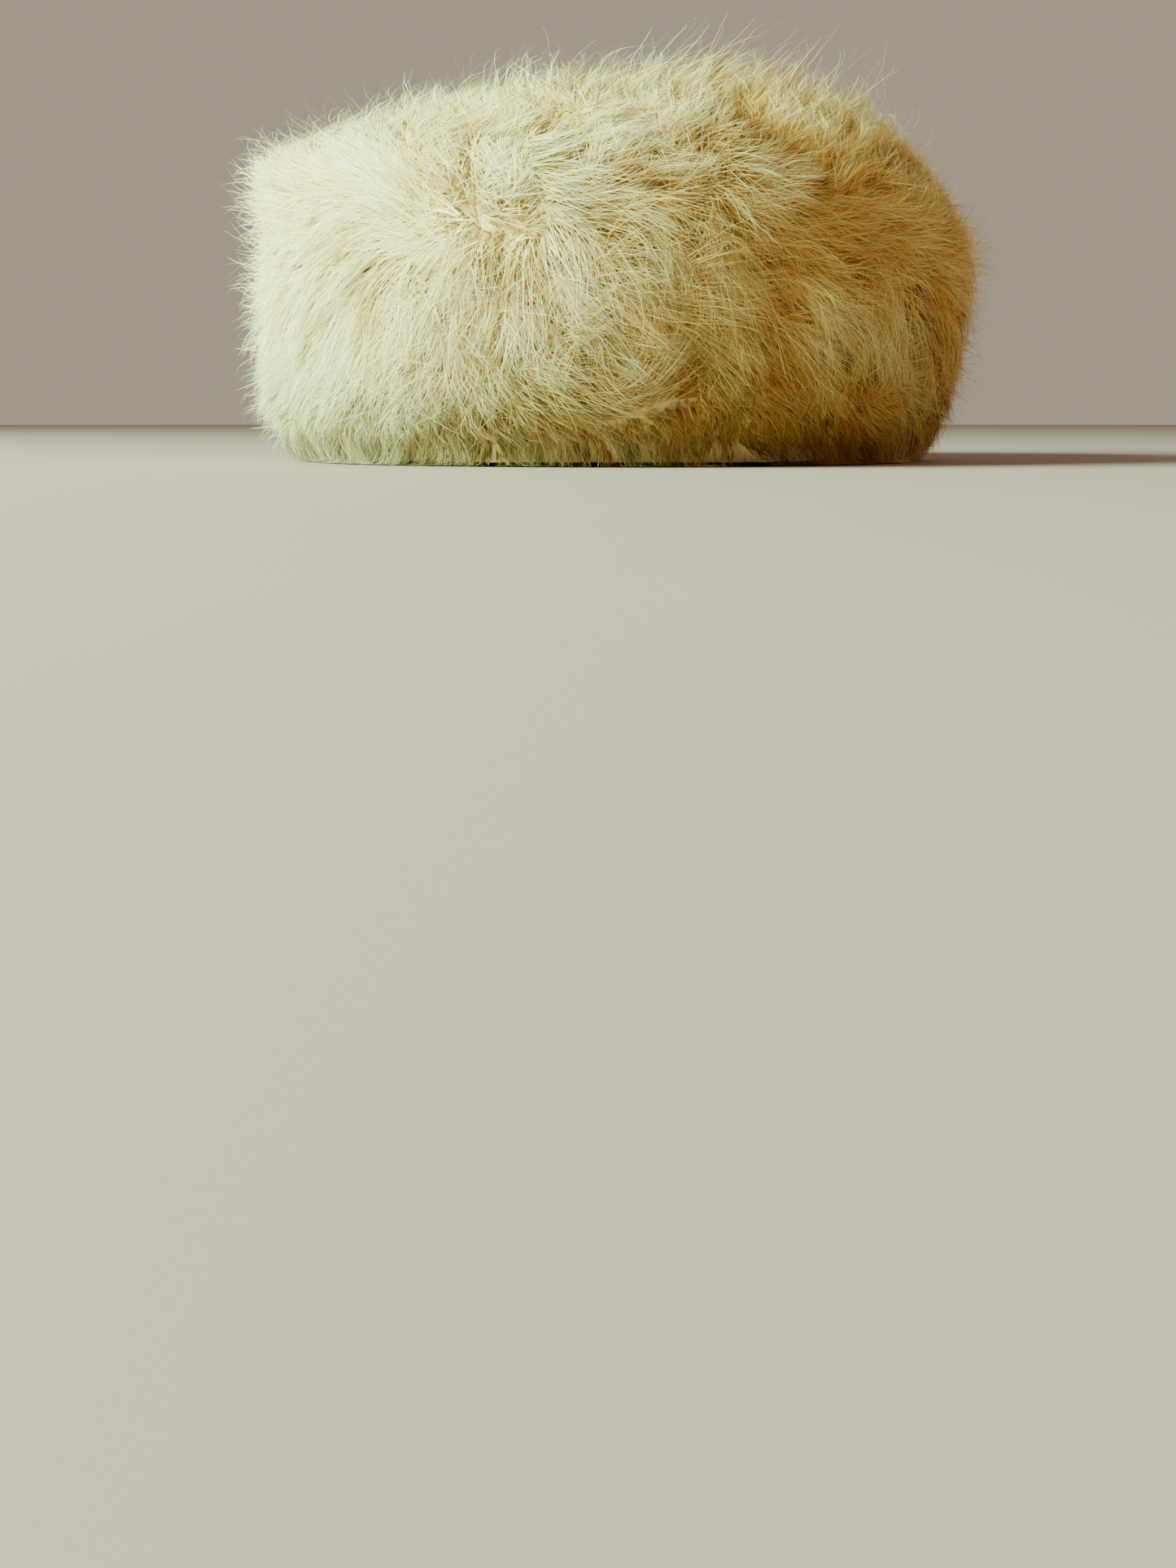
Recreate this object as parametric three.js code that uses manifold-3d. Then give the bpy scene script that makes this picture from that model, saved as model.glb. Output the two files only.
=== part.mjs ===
// Fur hat: a deep-piled toque in cream rabbit fur.
// Four side pelts and a crown pelt are sewn edge to edge, and a brown woven band binds the rim.
// Millimetres, +Z up. The front faces -Y, and +X is on the right of someone who looks at the front.
// The origin is under the middle of the hat, on the surface that its fringe rests on.
import * as THREE from "three";
import { mergeVertices } from "three/addons/utils/BufferGeometryUtils.js";
import Module from "manifold-3d";

// Head opening, inside the rim band
const HEAD_WIDTH = 168;
const HEAD_LENGTH = 190;

// Woven band that binds the rim
const BAND_WALL = 1.2;
const BAND_HEIGHT = 22;
const BAND_SHOW = 1.6; // how far the band shows below the skin edge

// Pelt skin with its backing
const SKIN_WALL = 2.4;
const SKIN_HEIGHT = 90; // from the skin edge at the rim to the middle of the crown

// Fur
const FUR_DEPTH = 26; // length of the pile, measured out from the skin
const FRINGE_DROP = 8; // how far the pile hangs below the skin edge, where it is brushed flat
const UNDERCOAT = 0.7; // share of the pile's depth that is dense down; the rest is open locks
const LOCK_WIDTH = 31;
const LOCK_THICKNESS = 9;
const LOCK_SPACING = 28; // between the roots of neighbouring locks
const LOCK_SWEEP = 34; // how far along the nap a lock's tip lies from its root
const LOCK_ROOT = 0.6; // share of the pile's depth at which a lock's root is sunk
const LOCK_ROUTE_STEPS = 60; // how finely the profile is measured to space the rows of locks
const LOCK_SEED = 3; // starts the steady chance that ruffles the locks

// Seams
const SEAM_GAP = 0.3;
const FRONT_PARTING = -21; // degrees from the front, where the nap parts to both sides
const CROWN_SEAM = 0.7; // share of the way up the profile where the crown pelt is sewn on

// How finely round forms are divided
const ROUND_STEPS = 40;
const SKIN_STEPS = 5;
const FUR_STEPS = 6;
const TOP_SHARE = 0.985; // share of the way up where the rings stop and a cap closes the crown
const WELD_PASSES = 3;

const radians = THREE.MathUtils.degToRad;
const clamp = THREE.MathUtils.clamp;
const skinHalfWidth = HEAD_WIDTH / 2 + BAND_WALL + SEAM_GAP + SKIN_WALL;
const skinHalfLength = HEAD_LENGTH / 2 + BAND_WALL + SEAM_GAP + SKIN_WALL;
const farOut = 3 * skinHalfLength;

// The skin's profile from the rim up to the middle of the crown.
// reach is a share of the skin's half width or half length, and rise a share of its height.
const SKIN_STATIONS = [
  { station: "rim", reach: 1.0, rise: 0.0 },
  { station: "skirt", reach: 1.005, rise: 0.05 },
  { station: "lower", reach: 1.01, rise: 0.16 },
  { station: "middle", reach: 1.01, rise: 0.42 },
  { station: "upper", reach: 1.0, rise: 0.66 },
  { station: "shoulder", reach: 0.95, rise: 0.82 },
  { station: "brow", reach: 0.8, rise: 0.915 },
  { station: "dome", reach: 0.48, rise: 0.975 },
  { station: "top", reach: 0.0, rise: 1.0 },
];

// How far out from the skin the pile reaches on each side, as shares of its depth.
// The left side is boxy, the right side is rounder, and the top leans to the right.
const PILE_OUT = [
  { station: "rim", left: 0.39, right: 0.3, front: 0.35, back: 0.36 },
  { station: "skirt", left: 0.72, right: 0.57, front: 0.66, back: 0.68 },
  { station: "lower", left: 0.89, right: 0.76, front: 0.84, back: 0.86 },
  { station: "middle", left: 0.91, right: 0.95, front: 0.93, back: 0.92 },
  { station: "upper", left: 0.97, right: 0.95, front: 0.95, back: 0.94 },
  { station: "shoulder", left: 1.1, right: 0.67, front: 0.85, back: 0.83 },
  { station: "brow", left: 0.76, right: 0.6, front: 0.66, back: 0.64 },
  { station: "dome", left: 0.22, right: 0.76, front: 0.4, back: 0.38 },
  { station: "top", left: -1.05, right: 1.05, front: 0.0, back: 0.0 },
];

// How far above the skin's own height the pile lies on each side, as shares of its depth.
const PILE_UP = [
  { station: "rim", left: -0.42, right: -0.4, front: -0.08, back: -0.4 },
  { station: "skirt", left: -0.24, right: -0.13, front: -0.05, back: -0.18 },
  { station: "lower", left: -0.09, right: 0.02, front: 0.0, back: -0.04 },
  { station: "middle", left: 0.08, right: 0.16, front: 0.1, back: 0.1 },
  { station: "upper", left: 0.25, right: 0.02, front: 0.12, back: 0.12 },
  { station: "shoulder", left: 0.32, right: 0.05, front: 0.18, back: 0.17 },
  { station: "brow", left: 0.29, right: 0.37, front: 0.33, back: 0.31 },
  { station: "dome", left: 0.55, right: 0.7, front: 0.62, back: 0.58 },
  { station: "top", left: 0.87, right: 0.87, front: 0.87, back: 0.87 },
];

// Which way the nap lies: up is along the profile towards the crown, and along is round the side,
// away from the front parting.
const NAP_STATIONS = [
  { station: "rim", up: -1.0, along: 0.25 },
  { station: "skirt", up: -0.9, along: 0.4 },
  { station: "lower", up: -0.6, along: 0.7 },
  { station: "middle", up: -0.1, along: 0.9 },
  { station: "upper", up: 0.5, along: 0.8 },
  { station: "shoulder", up: 0.7, along: 0.5 },
  { station: "brow", up: -0.6, along: 0.4 },
  { station: "dome", up: -0.7, along: 0.4 },
  { station: "top", up: -0.5, along: 0.4 },
];

// A lock's sections from its root to its tip, as shares of its route and of its width.
const LOCK_SECTIONS = [
  { place: 0, width: 0.8 },
  { place: 0.5, width: 1 },
  { place: 1, width: 0.08 },
];

// The side pelts in order round the hat from the front parting.
const SIDE_PELTS = [
  { name: "pelt_front_right", colour: 0xe6d296 },
  { name: "pelt_back_right", colour: 0xdfc98a },
  { name: "pelt_back_left", colour: 0xe8d9a6 },
  { name: "pelt_front_left", colour: 0xece2bd },
];
const PELT_ANGLE = 360 / SIDE_PELTS.length;

/** The row of a station table at a share of the way from the rim to the top, eased between rows. */
function rowAt(table, share) {
  const place = clamp(share, 0, 1) * (table.length - 1);
  const first = Math.min(Math.floor(place), table.length - 2);
  const t = place - first;
  const row = {};
  for (const column of Object.keys(table[0])) {
    if (column === "station") continue;
    const [before, start, end, after] = [-1, 0, 1, 2].map(
      (step) => table[clamp(first + step, 0, table.length - 1)][column],
    );
    const slopeIn = (end - before) / 2;
    const slopeOut = (after - start) / 2;
    const bend = 3 * (end - start) - 2 * slopeIn - slopeOut;
    const twist = 2 * (start - end) + slopeIn + slopeOut;
    row[column] = start + t * (slopeIn + t * (bend + t * twist));
  }
  return row;
}

/** A point of the skin, or of the wall's inner face, at an angle from the front. */
function skinPoint(angle, share, inside = 0) {
  const { reach, rise } = rowAt(SKIN_STATIONS, share);
  return new THREE.Vector3(
    (skinHalfWidth - inside) * reach * Math.sin(angle),
    -(skinHalfLength - inside) * reach * Math.cos(angle),
    (SKIN_HEIGHT - inside) * rise,
  );
}

/** A point of the outer form that the tips of the pile reach. */
function tipPoint(angle, share) {
  const { reach, rise } = rowAt(SKIN_STATIONS, share);
  const out = rowAt(PILE_OUT, share);
  const up = rowAt(PILE_UP, share);
  const right = skinHalfWidth * reach + FUR_DEPTH * out.right;
  const left = -skinHalfWidth * reach - FUR_DEPTH * out.left;
  const back = skinHalfLength * reach + FUR_DEPTH * out.back;
  const front = -skinHalfLength * reach - FUR_DEPTH * out.front;
  const sine = Math.sin(angle);
  const cosine = Math.cos(angle);
  const sideUp = sine > 0 ? up.right : up.left;
  const endUp = cosine > 0 ? up.front : up.back;
  return new THREE.Vector3(
    (right + left) / 2 + ((right - left) / 2) * sine,
    (back + front) / 2 - ((back - front) / 2) * cosine,
    SKIN_HEIGHT * rise + FUR_DEPTH * (sideUp * sine * sine + endUp * cosine * cosine),
  );
}

/** A point in the pile, at a share of its depth from the skin (0) to the tips (1). */
function pilePoint(angle, share, depth) {
  return skinPoint(angle, share).lerp(tipPoint(angle, share), depth);
}

/** A ring of points round the hat. */
function ringOf(steps, pointAt) {
  return Array.from({ length: steps }, (_, i) => pointAt((i / steps) * 2 * Math.PI));
}

/** A closed surface through rings of points: capped at both ends, or joined last to first as a hoop. */
function loft(rings, hoop = false) {
  const steps = rings[0].length;
  const positions = [];
  const push = (...points) => points.forEach((p) => positions.push(p.x, p.y, p.z));
  const bands = hoop ? rings.length : rings.length - 1;
  for (let r = 0; r < bands; r++) {
    const from = rings[r];
    const to = rings[(r + 1) % rings.length];
    for (let i = 0; i < steps; i++) {
      const j = (i + 1) % steps;
      push(from[i], from[j], to[j]);
      push(from[i], to[j], to[i]);
    }
  }
  if (!hoop) {
    capRing(rings[0].toReversed(), push);
    capRing(rings.at(-1), push);
  }
  return new THREE.BufferGeometry().setAttribute("position", new THREE.Float32BufferAttribute(positions, 3));
}

/** Closes a ring with a fan of faces round its middle. */
function capRing(ring, push) {
  const middle = ring.reduce((sum, p) => sum.add(p), new THREE.Vector3()).divideScalar(ring.length);
  ring.forEach((p, i) => push(p, ring[(i + 1) % ring.length], middle));
}

const wasm = await Module();
wasm.setup();

/** A closed geometry as a solid that can be joined and cut. */
function solidFrom(geometry) {
  const bare = new THREE.BufferGeometry().setAttribute("position", geometry.getAttribute("position"));
  if (geometry.index) bare.setIndex(geometry.index);
  const merged = mergeVertices(bare, 1e-3);
  return new wasm.Manifold(
    new wasm.Mesh({
      numProp: 3,
      vertProperties: merged.attributes.position.array,
      triVerts: new Uint32Array(merged.index.array),
    }),
  );
}

/** The largest body of a solid as a geometry, without the lock tips that a seam cut off. */
function largestBody(solid) {
  const largest = solid.decompose().reduce((a, b) => (a.volume() > b.volume() ? a : b));
  const mesh = largest.getMesh();
  return new THREE.BufferGeometry()
    .setAttribute("position", new THREE.BufferAttribute(new Float32Array(mesh.vertProperties), 3))
    .setIndex(new THREE.BufferAttribute(new Uint32Array(mesh.triVerts), 1));
}

/** A solid as a geometry. Welding can part a pocket between locks from the rest, so it is repeated. */
function geometryFrom(solid) {
  let geometry = largestBody(solid);
  for (let pass = 0; pass < WELD_PASSES; pass++) geometry = largestBody(solidFrom(geometry));
  return geometry;
}

/** The skin and the undercoat of the whole hat as one open-mouthed shell. */
function shellSolid() {
  const rings = [];
  for (let i = SKIN_STEPS; i >= 0; i--) {
    const share = (TOP_SHARE * i) / SKIN_STEPS;
    rings.push(ringOf(ROUND_STEPS, (angle) => skinPoint(angle, share, SKIN_WALL)));
  }
  rings.push(ringOf(ROUND_STEPS, (angle) => skinPoint(angle, 0)));
  for (let i = 0; i <= FUR_STEPS; i++) {
    const share = (TOP_SHARE * i) / FUR_STEPS;
    rings.push(ringOf(ROUND_STEPS, (angle) => pilePoint(angle, share, UNDERCOAT)));
  }
  return solidFrom(loft(rings));
}

/** A steady stand-in for chance, from -1 to 1. */
function chance(seed) {
  const x = Math.sin((seed + LOCK_SEED) * 12.9898) * 43758.5453;
  return 2 * (x - Math.floor(x)) - 1;
}

/** One tapering lock with a ridge, which rises from the undercoat and lies down along the nap. */
function lockSolid(angle, share, routeLength, seed) {
  const nap = rowAt(NAP_STATIONS, share);
  const away = clamp(2.2 * Math.sin(angle - radians(FRONT_PARTING)), -1, 1);
  const along = nap.along * away + 0.3 * chance(seed);
  const up = nap.up + 0.25 * chance(seed + 0.37);
  const root = pilePoint(angle, share, LOCK_ROOT);
  const radius = Math.max(Math.hypot(root.x, root.y), LOCK_SWEEP);
  const turn = (LOCK_SWEEP * along) / radius;
  const climb = (LOCK_SWEEP * up) / routeLength;
  const tip = pilePoint(angle + turn, share + climb, 0.98 + 0.03 * chance(seed + 0.59));
  const crest = pilePoint(angle + turn * 0.4, share + climb * 0.4, 0.96);
  const normal = tipPoint(angle, share).sub(skinPoint(angle, share)).normalize();
  const route = new THREE.QuadraticBezierCurve3(root, crest, tip);
  const rings = LOCK_SECTIONS.map(({ place, width }) => {
    const forward = route.getTangent(place);
    const across = forward.clone().cross(normal).normalize();
    const outward = across.clone().cross(forward).normalize();
    const corner = (side, lift) =>
      route
        .getPoint(place)
        .addScaledVector(across, (side * width * LOCK_WIDTH) / 2)
        .addScaledVector(outward, lift * width * LOCK_THICKNESS);
    return [corner(-1, -0.5), corner(0, 0.5), corner(1, -0.5)];
  });
  return solidFrom(loft(rings));
}

/** Every lock of the hat, in staggered rows from the fringe to the crown. */
function lockSolids() {
  const locks = [];
  const rootAt = (angle, share) => pilePoint(angle, share, UNDERCOAT);
  const route = ringOf(LOCK_ROUTE_STEPS, (turn) => rootAt(0, turn / (2 * Math.PI)));
  const travelled = [0];
  route.slice(1).forEach((p, i) => travelled.push(travelled[i] + p.distanceTo(route[i])));
  const routeLength = travelled.at(-1);
  const rows = Math.round(routeLength / LOCK_SPACING);
  for (let row = 0; row < rows; row++) {
    const distance = ((row + 0.3) / rows) * routeLength;
    const share = travelled.findIndex((length) => length >= distance) / LOCK_ROUTE_STEPS;
    const width = rootAt(Math.PI / 2, share).distanceTo(rootAt(-Math.PI / 2, share));
    const length = rootAt(0, share).distanceTo(rootAt(Math.PI, share));
    const count = Math.max(3, Math.round((Math.PI * (width + length)) / 2 / LOCK_SPACING));
    for (let i = 0; i < count; i++) {
      const seed = 97 * row + i;
      const angle = ((i + (row % 2) / 2 + 0.2 * chance(seed + 0.71)) / count) * 2 * Math.PI;
      locks.push(lockSolid(angle, share, routeLength, seed));
    }
  }
  return locks;
}

/** The space of the crown pelt: everything above the crown seam, moved up by an offset. */
function crownSpace(offset) {
  const seamPoint = (angle, out) => {
    const stance = tipPoint(angle, CROWN_SEAM).sub(skinPoint(angle, CROWN_SEAM)).normalize();
    return skinPoint(angle, CROWN_SEAM).addScaledVector(stance, out).add(new THREE.Vector3(0, 0, offset));
  };
  const outer = ringOf(ROUND_STEPS, (angle) => seamPoint(angle, 3 * FUR_DEPTH));
  const inner = ringOf(ROUND_STEPS, (angle) => seamPoint(angle, -4 * SKIN_WALL));
  const ceiling = outer.map((p) => new THREE.Vector3(p.x, p.y, farOut));
  return solidFrom(loft([inner, outer, ceiling]));
}

/** The space of one side pelt: a wedge between two seams, drawn in by half a seam gap. */
function peltSpace(place) {
  const start = radians(FRONT_PARTING + place * PELT_ANGLE);
  const half = radians(PELT_ANGLE / 2);
  const plan = (angle, radius) => new THREE.Vector2(radius * Math.sin(angle), -radius * Math.cos(angle));
  const inset = plan(start + half, SEAM_GAP / 2 / Math.sin(half));
  const edges = [start, start + half, start + 2 * half].map((angle) => plan(angle, farOut).add(inset));
  const wedge = new THREE.Shape([inset, ...edges]);
  const space = new THREE.ExtrudeGeometry(wedge, { depth: 2 * farOut, bevelEnabled: false });
  return solidFrom(space.translate(0, 0, -farOut));
}

/** The space under the fringe, which brushes the hat's lowest locks flat. */
function floorSpace() {
  const block = new THREE.BoxGeometry(2 * farOut, 2 * farOut, farOut);
  return solidFrom(block.translate(0, 0, -farOut / 2 - FRINGE_DROP));
}

/** The rim band: a woven hoop with a flat lower edge. */
function rimBandGeometry() {
  const edge = (wall, height) =>
    ringOf(ROUND_STEPS, (angle) => {
      const x = (HEAD_WIDTH / 2 + wall) * Math.sin(angle);
      const y = -(HEAD_LENGTH / 2 + wall) * Math.cos(angle);
      return new THREE.Vector3(x, y, height - BAND_SHOW);
    });
  const corners = [edge(0, BAND_HEIGHT), edge(0, 0), edge(BAND_WALL, 0), edge(BAND_WALL, BAND_HEIGHT)];
  return loft(corners, true);
}

const hat = new THREE.Group();

/** Adds one named piece to the hat. */
function addPiece(name, geometry, colour, roughness) {
  const material = new THREE.MeshStandardMaterial({ color: colour, roughness, metalness: 0 });
  const mesh = new THREE.Mesh(geometry, material);
  mesh.name = name;
  hat.add(mesh);
}

const furRoughness = 0.95;
const crownColour = 0xede6c6;
const bandColour = 0x5a4630;
const bandRoughness = 0.85;
const fur = wasm.Manifold.union([shellSolid(), ...lockSolids()]).subtract(floorSpace());

// The hat stands on its fringe, with the origin under its middle.
const { min, max } = fur.boundingBox();
const stand = [-(min[0] + max[0]) / 2, -(min[1] + max[1]) / 2, FRINGE_DROP];

const sides = fur.subtract(crownSpace(-SEAM_GAP));
SIDE_PELTS.forEach(({ name, colour }, place) => {
  const pelt = sides.intersect(peltSpace(place)).translate(stand);
  addPiece(name, geometryFrom(pelt), colour, furRoughness);
});
const crown = fur.intersect(crownSpace(SEAM_GAP)).translate(stand);
addPiece("pelt_crown", geometryFrom(crown), crownColour, furRoughness);
addPiece("rim_band", rimBandGeometry().translate(...stand), bandColour, bandRoughness);

export default hat;
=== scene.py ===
"""Looks of the fur hat: combed pile over golden down, suede inside and a ribbed rim band."""

import logging
import math
from dataclasses import dataclass
from enum import Enum

import bpy
import numpy as np
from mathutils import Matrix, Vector
from mathutils.kdtree import KDTree


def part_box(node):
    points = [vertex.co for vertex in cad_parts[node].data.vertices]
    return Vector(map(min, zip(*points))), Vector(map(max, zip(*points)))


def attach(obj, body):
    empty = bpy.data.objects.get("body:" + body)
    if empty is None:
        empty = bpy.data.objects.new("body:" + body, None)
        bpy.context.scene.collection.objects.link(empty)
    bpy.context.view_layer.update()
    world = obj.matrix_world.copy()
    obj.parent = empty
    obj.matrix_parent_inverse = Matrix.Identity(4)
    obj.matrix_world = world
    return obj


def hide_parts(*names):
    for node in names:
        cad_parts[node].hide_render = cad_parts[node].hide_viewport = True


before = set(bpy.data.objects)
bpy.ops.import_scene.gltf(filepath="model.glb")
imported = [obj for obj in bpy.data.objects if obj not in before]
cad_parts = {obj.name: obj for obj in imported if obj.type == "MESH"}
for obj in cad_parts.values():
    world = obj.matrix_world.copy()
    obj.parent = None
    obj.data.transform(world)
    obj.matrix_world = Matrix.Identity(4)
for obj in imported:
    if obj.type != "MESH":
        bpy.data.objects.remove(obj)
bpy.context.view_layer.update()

LOG = logging.getLogger("fur_hat")
TURN = 2 * math.pi
MM = 0.001
BODY = "root"
SEED = 20


class StationTable:
    """Named columns given at stations from the rim (share 0) to the top of the crown (share 1)."""

    def __init__(self, columns: tuple[str, ...], rows: dict[str, tuple[float, ...]]) -> None:
        """Keeps the rows in order.

        Args:
            columns: Names of the columns.
            rows: Values of each station, by the station's name.
        """
        self.columns = columns
        self.values = np.array(list(rows.values()), float)

    def at(self, share: np.ndarray) -> dict[str, np.ndarray]:
        """Eases between the stations.

        Args:
            share: Shares of the way from the rim to the top.

        Returns:
            The values of each column at those shares.
        """
        last = len(self.values) - 1
        place = np.clip(share, 0.0, 1.0) * last
        first = np.minimum(place.astype(int), last - 1)
        t = (place - first)[:, None]
        steps = (np.clip(first + step, 0, last) for step in (-1, 0, 1, 2))
        before, start, end, after = (self.values[step] for step in steps)
        slope_in = (end - before) / 2
        slope_out = (after - start) / 2
        bend = 3 * (end - start) - 2 * slope_in - slope_out
        twist = 2 * (start - end) + slope_in + slope_out
        eased = start + t * (slope_in + t * (bend + t * twist))
        return dict(zip(self.columns, eased.T))


# The skin's profile, as shares of its half width or half length and of its height
SKIN_STATIONS = StationTable(
    ("reach", "rise"),
    {
        "rim": (1.0, 0.0),
        "skirt": (1.005, 0.05),
        "lower": (1.01, 0.16),
        "middle": (1.01, 0.42),
        "upper": (1.0, 0.66),
        "shoulder": (0.95, 0.82),
        "brow": (0.8, 0.915),
        "dome": (0.48, 0.975),
        "top": (0.0, 1.0),
    },
)

# How far out from the skin the pile reaches, as shares of its depth
PILE_OUT = StationTable(
    ("left", "right", "front", "back"),
    {
        "rim": (0.39, 0.3, 0.35, 0.36),
        "skirt": (0.72, 0.57, 0.66, 0.68),
        "lower": (0.89, 0.76, 0.84, 0.86),
        "middle": (0.91, 0.95, 0.93, 0.92),
        "upper": (0.97, 0.95, 0.95, 0.94),
        "shoulder": (1.1, 0.67, 0.85, 0.83),
        "brow": (0.76, 0.6, 0.66, 0.64),
        "dome": (0.22, 0.76, 0.4, 0.38),
        "top": (-1.05, 1.05, 0.0, 0.0),
    },
)

# How far above the skin's own height the pile lies, as shares of its depth
PILE_UP = StationTable(
    ("left", "right", "front", "back"),
    {
        "rim": (-0.42, -0.4, -0.08, -0.4),
        "skirt": (-0.24, -0.13, -0.05, -0.18),
        "lower": (-0.09, 0.02, 0.0, -0.04),
        "middle": (0.08, 0.16, 0.1, 0.1),
        "upper": (0.25, 0.02, 0.12, 0.12),
        "shoulder": (0.32, 0.05, 0.18, 0.17),
        "brow": (0.29, 0.37, 0.33, 0.31),
        "dome": (0.55, 0.7, 0.62, 0.58),
        "top": (0.87, 0.87, 0.87, 0.87),
    },
)

# How the nap lies: along is round the side, away from the front parting, climb is up the profile,
# and lift is how upright the hair stands
NAP_STATIONS = StationTable(
    ("along", "climb", "lift"),
    {
        "rim": (0.3, -1.0, 0.25),
        "skirt": (0.4, -0.95, 0.25),
        "lower": (0.6, -0.8, 0.2),
        "middle": (0.75, -0.5, 0.2),
        "upper": (0.9, 0.1, 0.3),
        "shoulder": (0.6, 0.7, 0.6),
        "brow": (0.35, 0.7, 0.95),
        "dome": (0.3, 0.5, 1.05),
        "top": (0.2, 0.2, 1.1),
    },
)


@dataclass(frozen=True)
class Spot:
    """A round spot of the hat's surface.

    Attributes:
        angle: Degrees from the front, towards +X.
        share: Share of the way from the rim to the top.
        radius: Radius in metres.
        strength: How strongly it acts, from 0 to 1; below 0 it acts the other way.
    """

    angle: float
    share: float
    radius: float
    strength: float


# Whorls, where the hair parts to all sides
WHORLS = (
    Spot(16, 0.57, 0.013, 0.45),
    Spot(-62, 0.62, 0.012, 0.4),
    Spot(78, 0.5, 0.020, 0.45),
    Spot(118, 0.62, 0.020, 1.0),
    Spot(158, 0.5, 0.022, 1.0),
    Spot(205, 0.62, 0.020, 1.0),
    Spot(248, 0.55, 0.022, 0.9),
)

# Places where the golden down shows through the pile
GOLDEN_SPOTS = (
    Spot(-24, 0.6, 0.018, 0.7),
    Spot(-58, 0.64, 0.015, 0.6),
    Spot(-30, 0.4, 0.022, 0.25),
    Spot(9, 0.54, 0.018, 0.7),
    Spot(8, 0.42, 0.036, 0.95),
    Spot(34, 0.18, 0.022, 0.7),
    Spot(38, 0.58, 0.028, 0.5),
    Spot(60, 0.5, 0.035, 0.7),
    Spot(92, 0.4, 0.040, 0.8),
    Spot(118, 0.62, 0.020, 0.6),
    Spot(158, 0.45, 0.024, 0.6),
    Spot(205, 0.6, 0.020, 0.6),
    Spot(248, 0.5, 0.020, 0.5),
)

# Places that are paler and brighter than the rest, above 0, or deeper in tone and darker, below 0; beyond
# the tone, the brightening is painted light and the darkening painted shade
TONE_AND_LIGHT_SPOTS = (
    Spot(-11, 0.66, 0.020, 0.9),
    Spot(-9, 0.5, 0.016, 0.6),
    Spot(6, 0.68, 0.015, 0.5),
    Spot(32, 0.46, 0.020, 0.4),
    Spot(5, 0.43, 0.019, -1.0),
    Spot(7, 0.16, 0.026, -0.6),
    Spot(-18, 0.1, 0.026, -0.6),
    Spot(-34, 0.1, 0.026, -0.6),
    Spot(-70, 0.62, 0.025, -0.5),
)


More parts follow.
